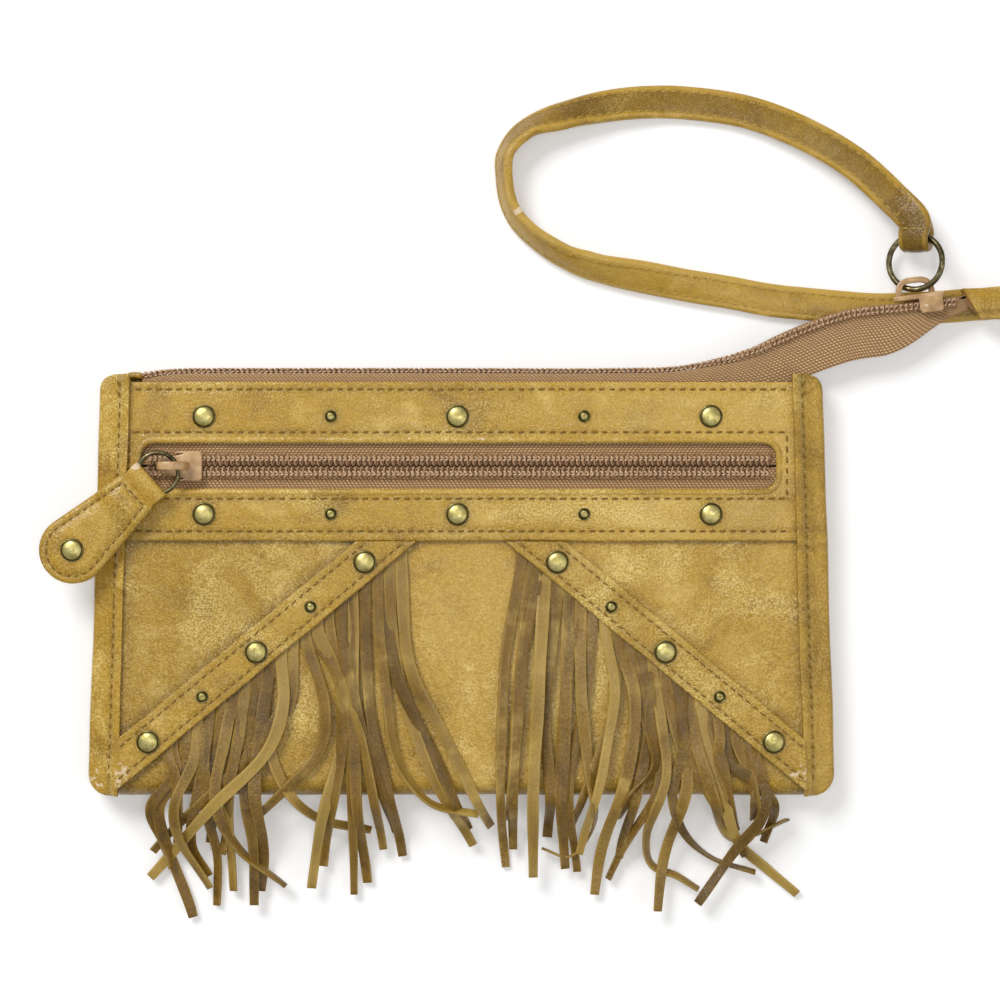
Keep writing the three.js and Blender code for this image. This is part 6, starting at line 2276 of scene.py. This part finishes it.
def make_start_tab():
    """Small leather end that closes the top zip at the left."""
    turns = [2 * math.pi * (k + 0.5) / 16 for k in range(16)]
    section = [(squared(math.cos(a), 0.5) * 0.95, squared(math.sin(a), 0.6) * 3.3) for a in turns]
    sections = []
    steps = 12
    for i in range(steps + 1):
        t = i / steps
        x = mix(-87.2, -82.6, t)
        size = 1 - 0.3 * bump_at(min(t, 1 - t), 0.08)
        middle = MOUTH_Y + 0.25 + 0.35 * math.sin(math.pi * t)
        sections.append([Vector((x, middle + y * size, CHAIN_Z_MOUTH + z * size)) for y, z in section])
    tab = face_outwards(sweep("start_tab_leather", sections))
    paint(tab, "tone", lambda p: 0.4 * relief(p.x, p.z, 2, 94) - 0.25)
    return finish_piece(tab, "bag", finishes()["strap"], (), 60)


def end_tab_stitches():
    """Two short dark stitches near the far end of the leather."""
    start = on_tail(END_TAB_X)
    level = CHAIN_Z_TAIL + SLIDER_FACE + END_TAB_LEATHER + 0.45
    ahead, up = Vector((0.2, 1, 0)).normalized(), Vector((0, 0, 1))
    return [(Vector((start.x + 12.5 + 0.3 * k, start.y - 0.2 - 2.2 * k, level)), ahead, up, 2.0, 0.45)
            for k in range(2)]


# Stage
# In metres; the photo's width covers PHOTO_SPAN at the level of the bag's front
CAMERA_PLACE = Vector((0.0101, 0.02255, 0.65))
PHOTO_SPAN = 0.2592
SUBJECT_LEVEL = 0.010
SENSOR = 36.0
FLOOR_LEVEL = -0.0004
FLOOR_GLOW = 0.24
# Name, place, aim, size and power of each lamp
LAMPS = (
    ("main_lamp", (-0.55, 0.75, 0.95), (0, 0, 0), 0.5, 9.8),
    ("fill_lamp", (0.9, -0.3, 0.9), (0, 0, 0), 0.9, 2.2),
    ("right_glint", (0.15, 0.03, 0.95), (0.05, 0.02, 0), 0.11, 0.72),
    ("left_glint", (-0.19, 0.0, 0.95), (-0.06, 0, 0), 0.08, 0.34),
)


def make_floor():
    """A pale ground that takes soft shadows and glows faintly for the camera only."""
    clear_selection()
    bpy.ops.mesh.primitive_plane_add(size=3, location=(0, 0, FLOOR_LEVEL))
    floor = bpy.context.object
    floor.name = "floor"
    settle(floor)
    f = Finish("Pale floor")
    paths = f.add("ShaderNodeLightPath")
    seen = f.sum("MAXIMUM", paths.outputs["Is Camera Ray"], paths.outputs["Is Glossy Ray"])
    seen = f.sum("MAXIMUM", seen, paths.outputs["Is Transmission Ray"])
    glow = f.sum("MULTIPLY", seen, FLOOR_GLOW)
    f.join(glow, f.shader.inputs["Emission Strength"])
    f.shader.inputs["Emission Color"].default_value = (1, 1, 1, 1)
    floor.data.materials.append(f.done((0.88, 0.88, 0.88), 0.9, Specular_IOR_Level=0.0))
    return floor


def make_lamp(name, place, target, size, power):
    clear_selection()
    bpy.ops.object.light_add(type="AREA", location=place)
    lamp = bpy.context.object
    lamp.name = name
    lamp.data.size = size
    lamp.data.energy = power
    lamp.rotation_euler = (Vector(target) - Vector(place)).to_track_quat("-Z", "Y").to_euler()
    return lamp


def make_stage():
    scene = bpy.context.scene
    make_floor()
    for lamp in LAMPS:
        make_lamp(*lamp)
    world = bpy.data.worlds.new("Studio")
    world.use_nodes = True
    background = world.node_tree.nodes["Background"]
    background.inputs["Color"].default_value = (1, 1, 1, 1)
    background.inputs["Strength"].default_value = 0.38
    scene.world = world
    scene.view_settings.view_transform = "Standard"
    camera_data = bpy.data.cameras.new("camera")
    camera = bpy.data.objects.new("camera", camera_data)
    scene.collection.objects.link(camera)
    camera.location = CAMERA_PLACE
    camera_data.sensor_width = SENSOR
    camera_data.lens = SENSOR * (CAMERA_PLACE.z - SUBJECT_LEVEL) / PHOTO_SPAN
    camera_data.clip_start = 0.01
    scene.camera = camera


# Add-on
class WristletSizes(PropertyGroup):
    columns: IntProperty(
        name="Sheet columns", description="Divisions across the widest leather sheets",
        default=220, min=60, max=320)
    stitch_lift: FloatProperty(
        name="Stitch lift", description="Height of the threads above the leather, in millimetres",
        default=0.08, min=0.0, max=0.4)


def leather_colour(name, description, value):
    return FloatVectorProperty(name=name, description=description, default=value,
                               subtype="COLOR", size=3, min=0, max=1)


class WristletColours(PropertyGroup):
    leather: leather_colour("Leather", "Waxed leather of the bag", (0.500, 0.295, 0.028))
    leather_dark: leather_colour("Leather, dark", "Its darker clouds", (0.330, 0.178, 0.014))
    leather_light: leather_colour("Leather, light", "Its lighter clouds", (0.690, 0.462, 0.110))
    strap: leather_colour("Strap", "Darker leather of the wrist strap", (0.455, 0.262, 0.018))
    strap_dark: leather_colour("Strap, dark", "Its darker clouds", (0.265, 0.140, 0.008))
    strap_light: leather_colour("Strap, light", "Its lighter clouds", (0.610, 0.395, 0.080))
    fringe: leather_colour("Fringe", "Faces of the strands", (0.235, 0.126, 0.010))
    fringe_dark: leather_colour("Fringe, dark", "Darker strands", (0.122, 0.060, 0.004))
    fringe_light: leather_colour("Fringe, light", "Lighter strands", (0.540, 0.365, 0.085))


def sizes():
    return bpy.context.scene.wristlet_sizes


class WRISTLET_OT_shell(Operator):
    """Makes the folded front and back of the bag"""
    bl_idname = "wristlet.shell"
    bl_label = "Folded shell"

    def execute(self, context):
        make_body_shell(sizes().columns)
        return {"FINISHED"}


class WRISTLET_OT_bindings(Operator):
    """Makes the two side bindings"""
    bl_idname = "wristlet.bindings"
    bl_label = "Side bindings"

    def execute(self, context):
        for side in (-1, 1):
            make_binding(side, 36, 170)
        return {"FINISHED"}


class WRISTLET_OT_band(Operator):
    """Makes the band with its pocket window and the window's turned edge"""
    bl_idname = "wristlet.band"
    bl_label = "Zip band"

    def execute(self, context):
        make_band(sizes().columns)
        make_window_rim()
        return {"FINISHED"}


class WRISTLET_OT_linings(Operator):
    """Makes the main lining and the pocket's inner bag"""
    bl_idname = "wristlet.linings"
    bl_label = "Linings"

    def execute(self, context):
        make_main_lining(70)
        make_pocket_lining(70)
        return {"FINISHED"}


class WRISTLET_OT_straps(Operator):
    """Makes the two diagonal straps"""
    bl_idname = "wristlet.straps"
    bl_label = "Diagonal straps"

    def execute(self, context):
        for side in (-1, 1):
            make_diagonal(side, 150, 16)
        return {"FINISHED"}


class WRISTLET_OT_fringe(Operator):
    """Makes the two combs of fringe"""
    bl_idname = "wristlet.fringe"
    bl_label = "Fringe"

    def execute(self, context):
        make_fringe(-1, LEFT_STRANDS, 5)
        make_fringe(1, RIGHT_STRANDS, 9)
        return {"FINISHED"}


class WRISTLET_OT_rivets(Operator):
    """Makes the twenty rivet caps"""
    bl_idname = "wristlet.rivets"
    bl_label = "Rivets"

    def execute(self, context):
        make_rivets()
        return {"FINISHED"}


class WRISTLET_OT_pocket_zip(Operator):
    """Makes the pocket's tapes and coils"""
    bl_idname = "wristlet.pocket_zip"
    bl_label = "Pocket zip"

    def execute(self, context):
        for side in (-1, 1):
            make_pocket_tape(side)
            make_pocket_coil(side)
        return {"FINISHED"}


class WRISTLET_OT_top_zip(Operator):
    """Makes the mouth's tapes and coils, and the leather at both of their ends"""
    bl_idname = "wristlet.top_zip"
    bl_label = "Top zip"

    def execute(self, context):
        for side in (-1, 1):
            make_top_tape(side)
            make_top_coil(side)
        make_start_tab()
        make_end_tab()
        make_tape_ends()
        return {"FINISHED"}


class WRISTLET_OT_sliders(Operator):
    """Makes the two zip sliders"""
    bl_idname = "wristlet.sliders"
    bl_label = "Sliders"

    def execute(self, context):
        make_pocket_slider()
        make_top_slider()
        return {"FINISHED"}


class WRISTLET_OT_rings(Operator):
    """Makes the two wire rings"""
    bl_idname = "wristlet.rings"
    bl_label = "Rings"

    def execute(self, context):
        make_pocket_ring()
        make_strap_ring()
        return {"FINISHED"}


class WRISTLET_OT_pull(Operator):
    """Makes the leather pull with its fold and its rivet"""
    bl_idname = "wristlet.pull"
    bl_label = "Leather pull"

    def execute(self, context):
        make_pull_neck()
        make_pull_tab()
        return {"FINISHED"}


class WRISTLET_OT_wrist_strap(Operator):
    """Makes the wrist strap"""
    bl_idname = "wristlet.wrist_strap"
    bl_label = "Wrist strap"

    def execute(self, context):
        make_wrist_strap(11)
        return {"FINISHED"}


class WRISTLET_OT_stitching(Operator):
    """Makes the seams' stitches"""
    bl_idname = "wristlet.stitching"
    bl_label = "Stitching"

    def execute(self, context):
        lift = sizes().stitch_lift
        thread = finishes()["thread"]
        seams = [("band_seams", "bag", band_stitches()), ("pull_seam", "pull_tab", pull_stitches()),
                 ("end_tab_seam", "bag", end_tab_stitches())]
        for side, word in ((-1, "left"), (1, "right")):
            seams.append((f"{word}_binding_seam", "bag", binding_stitches(side)))
            seams.append((f"{word}_strap_seams", "bag", diagonal_stitches(side)))
        for name, body, places in seams:
            finish_piece(stitches(name, places, lift), body, thread, (), 80)
        strap_seams = stitches("wrist_strap_seams", strap_stitches(), lift)
        finish_piece(strap_seams, "top_slider", finishes()["strap_thread"], (), 80)
        return {"FINISHED"}


class WRISTLET_OT_stage(Operator):
    """Makes the floor, the lights and the camera"""
    bl_idname = "wristlet.stage"
    bl_label = "Stage"

    def execute(self, context):
        make_stage()
        return {"FINISHED"}


BUTTONS = (
    WRISTLET_OT_shell, WRISTLET_OT_bindings, WRISTLET_OT_band, WRISTLET_OT_linings,
    WRISTLET_OT_straps, WRISTLET_OT_fringe, WRISTLET_OT_rivets, WRISTLET_OT_pocket_zip,
    WRISTLET_OT_top_zip, WRISTLET_OT_sliders, WRISTLET_OT_rings, WRISTLET_OT_pull,
    WRISTLET_OT_wrist_strap, WRISTLET_OT_stitching, WRISTLET_OT_stage,
)


class WRISTLET_PT_panel(Panel):
    bl_label = "Fringed Leather Wristlet"
    bl_idname = "WRISTLET_PT_panel"
    bl_space_type = "VIEW_3D"
    bl_region_type = "UI"
    bl_category = "Wristlet"

    def draw(self, context):
        layout = self.layout
        for group in (context.scene.wristlet_sizes, context.scene.wristlet_colours):
            for name in group.bl_rna.properties.keys():
                if name not in ("rna_type", "name"):
                    layout.prop(group, name)
        for button in BUTTONS:
            layout.operator(button.bl_idname)


CLASSES = (WristletSizes, WristletColours, *BUTTONS, WRISTLET_PT_panel)


def register():
    for cls in CLASSES:
        bpy.utils.register_class(cls)
    bpy.types.Scene.wristlet_sizes = PointerProperty(type=WristletSizes)
    bpy.types.Scene.wristlet_colours = PointerProperty(type=WristletColours)


def unregister():
    del bpy.types.Scene.wristlet_colours
    del bpy.types.Scene.wristlet_sizes
    for cls in reversed(CLASSES):
        bpy.utils.unregister_class(cls)


def main():
    register()
    for button in BUTTONS:
        module, name = button.bl_idname.split(".")
        if getattr(getattr(bpy.ops, module), name)() != {"FINISHED"}:
            raise RuntimeError(f"{button.bl_label} was not made")


if __name__ == "__main__":
    main()
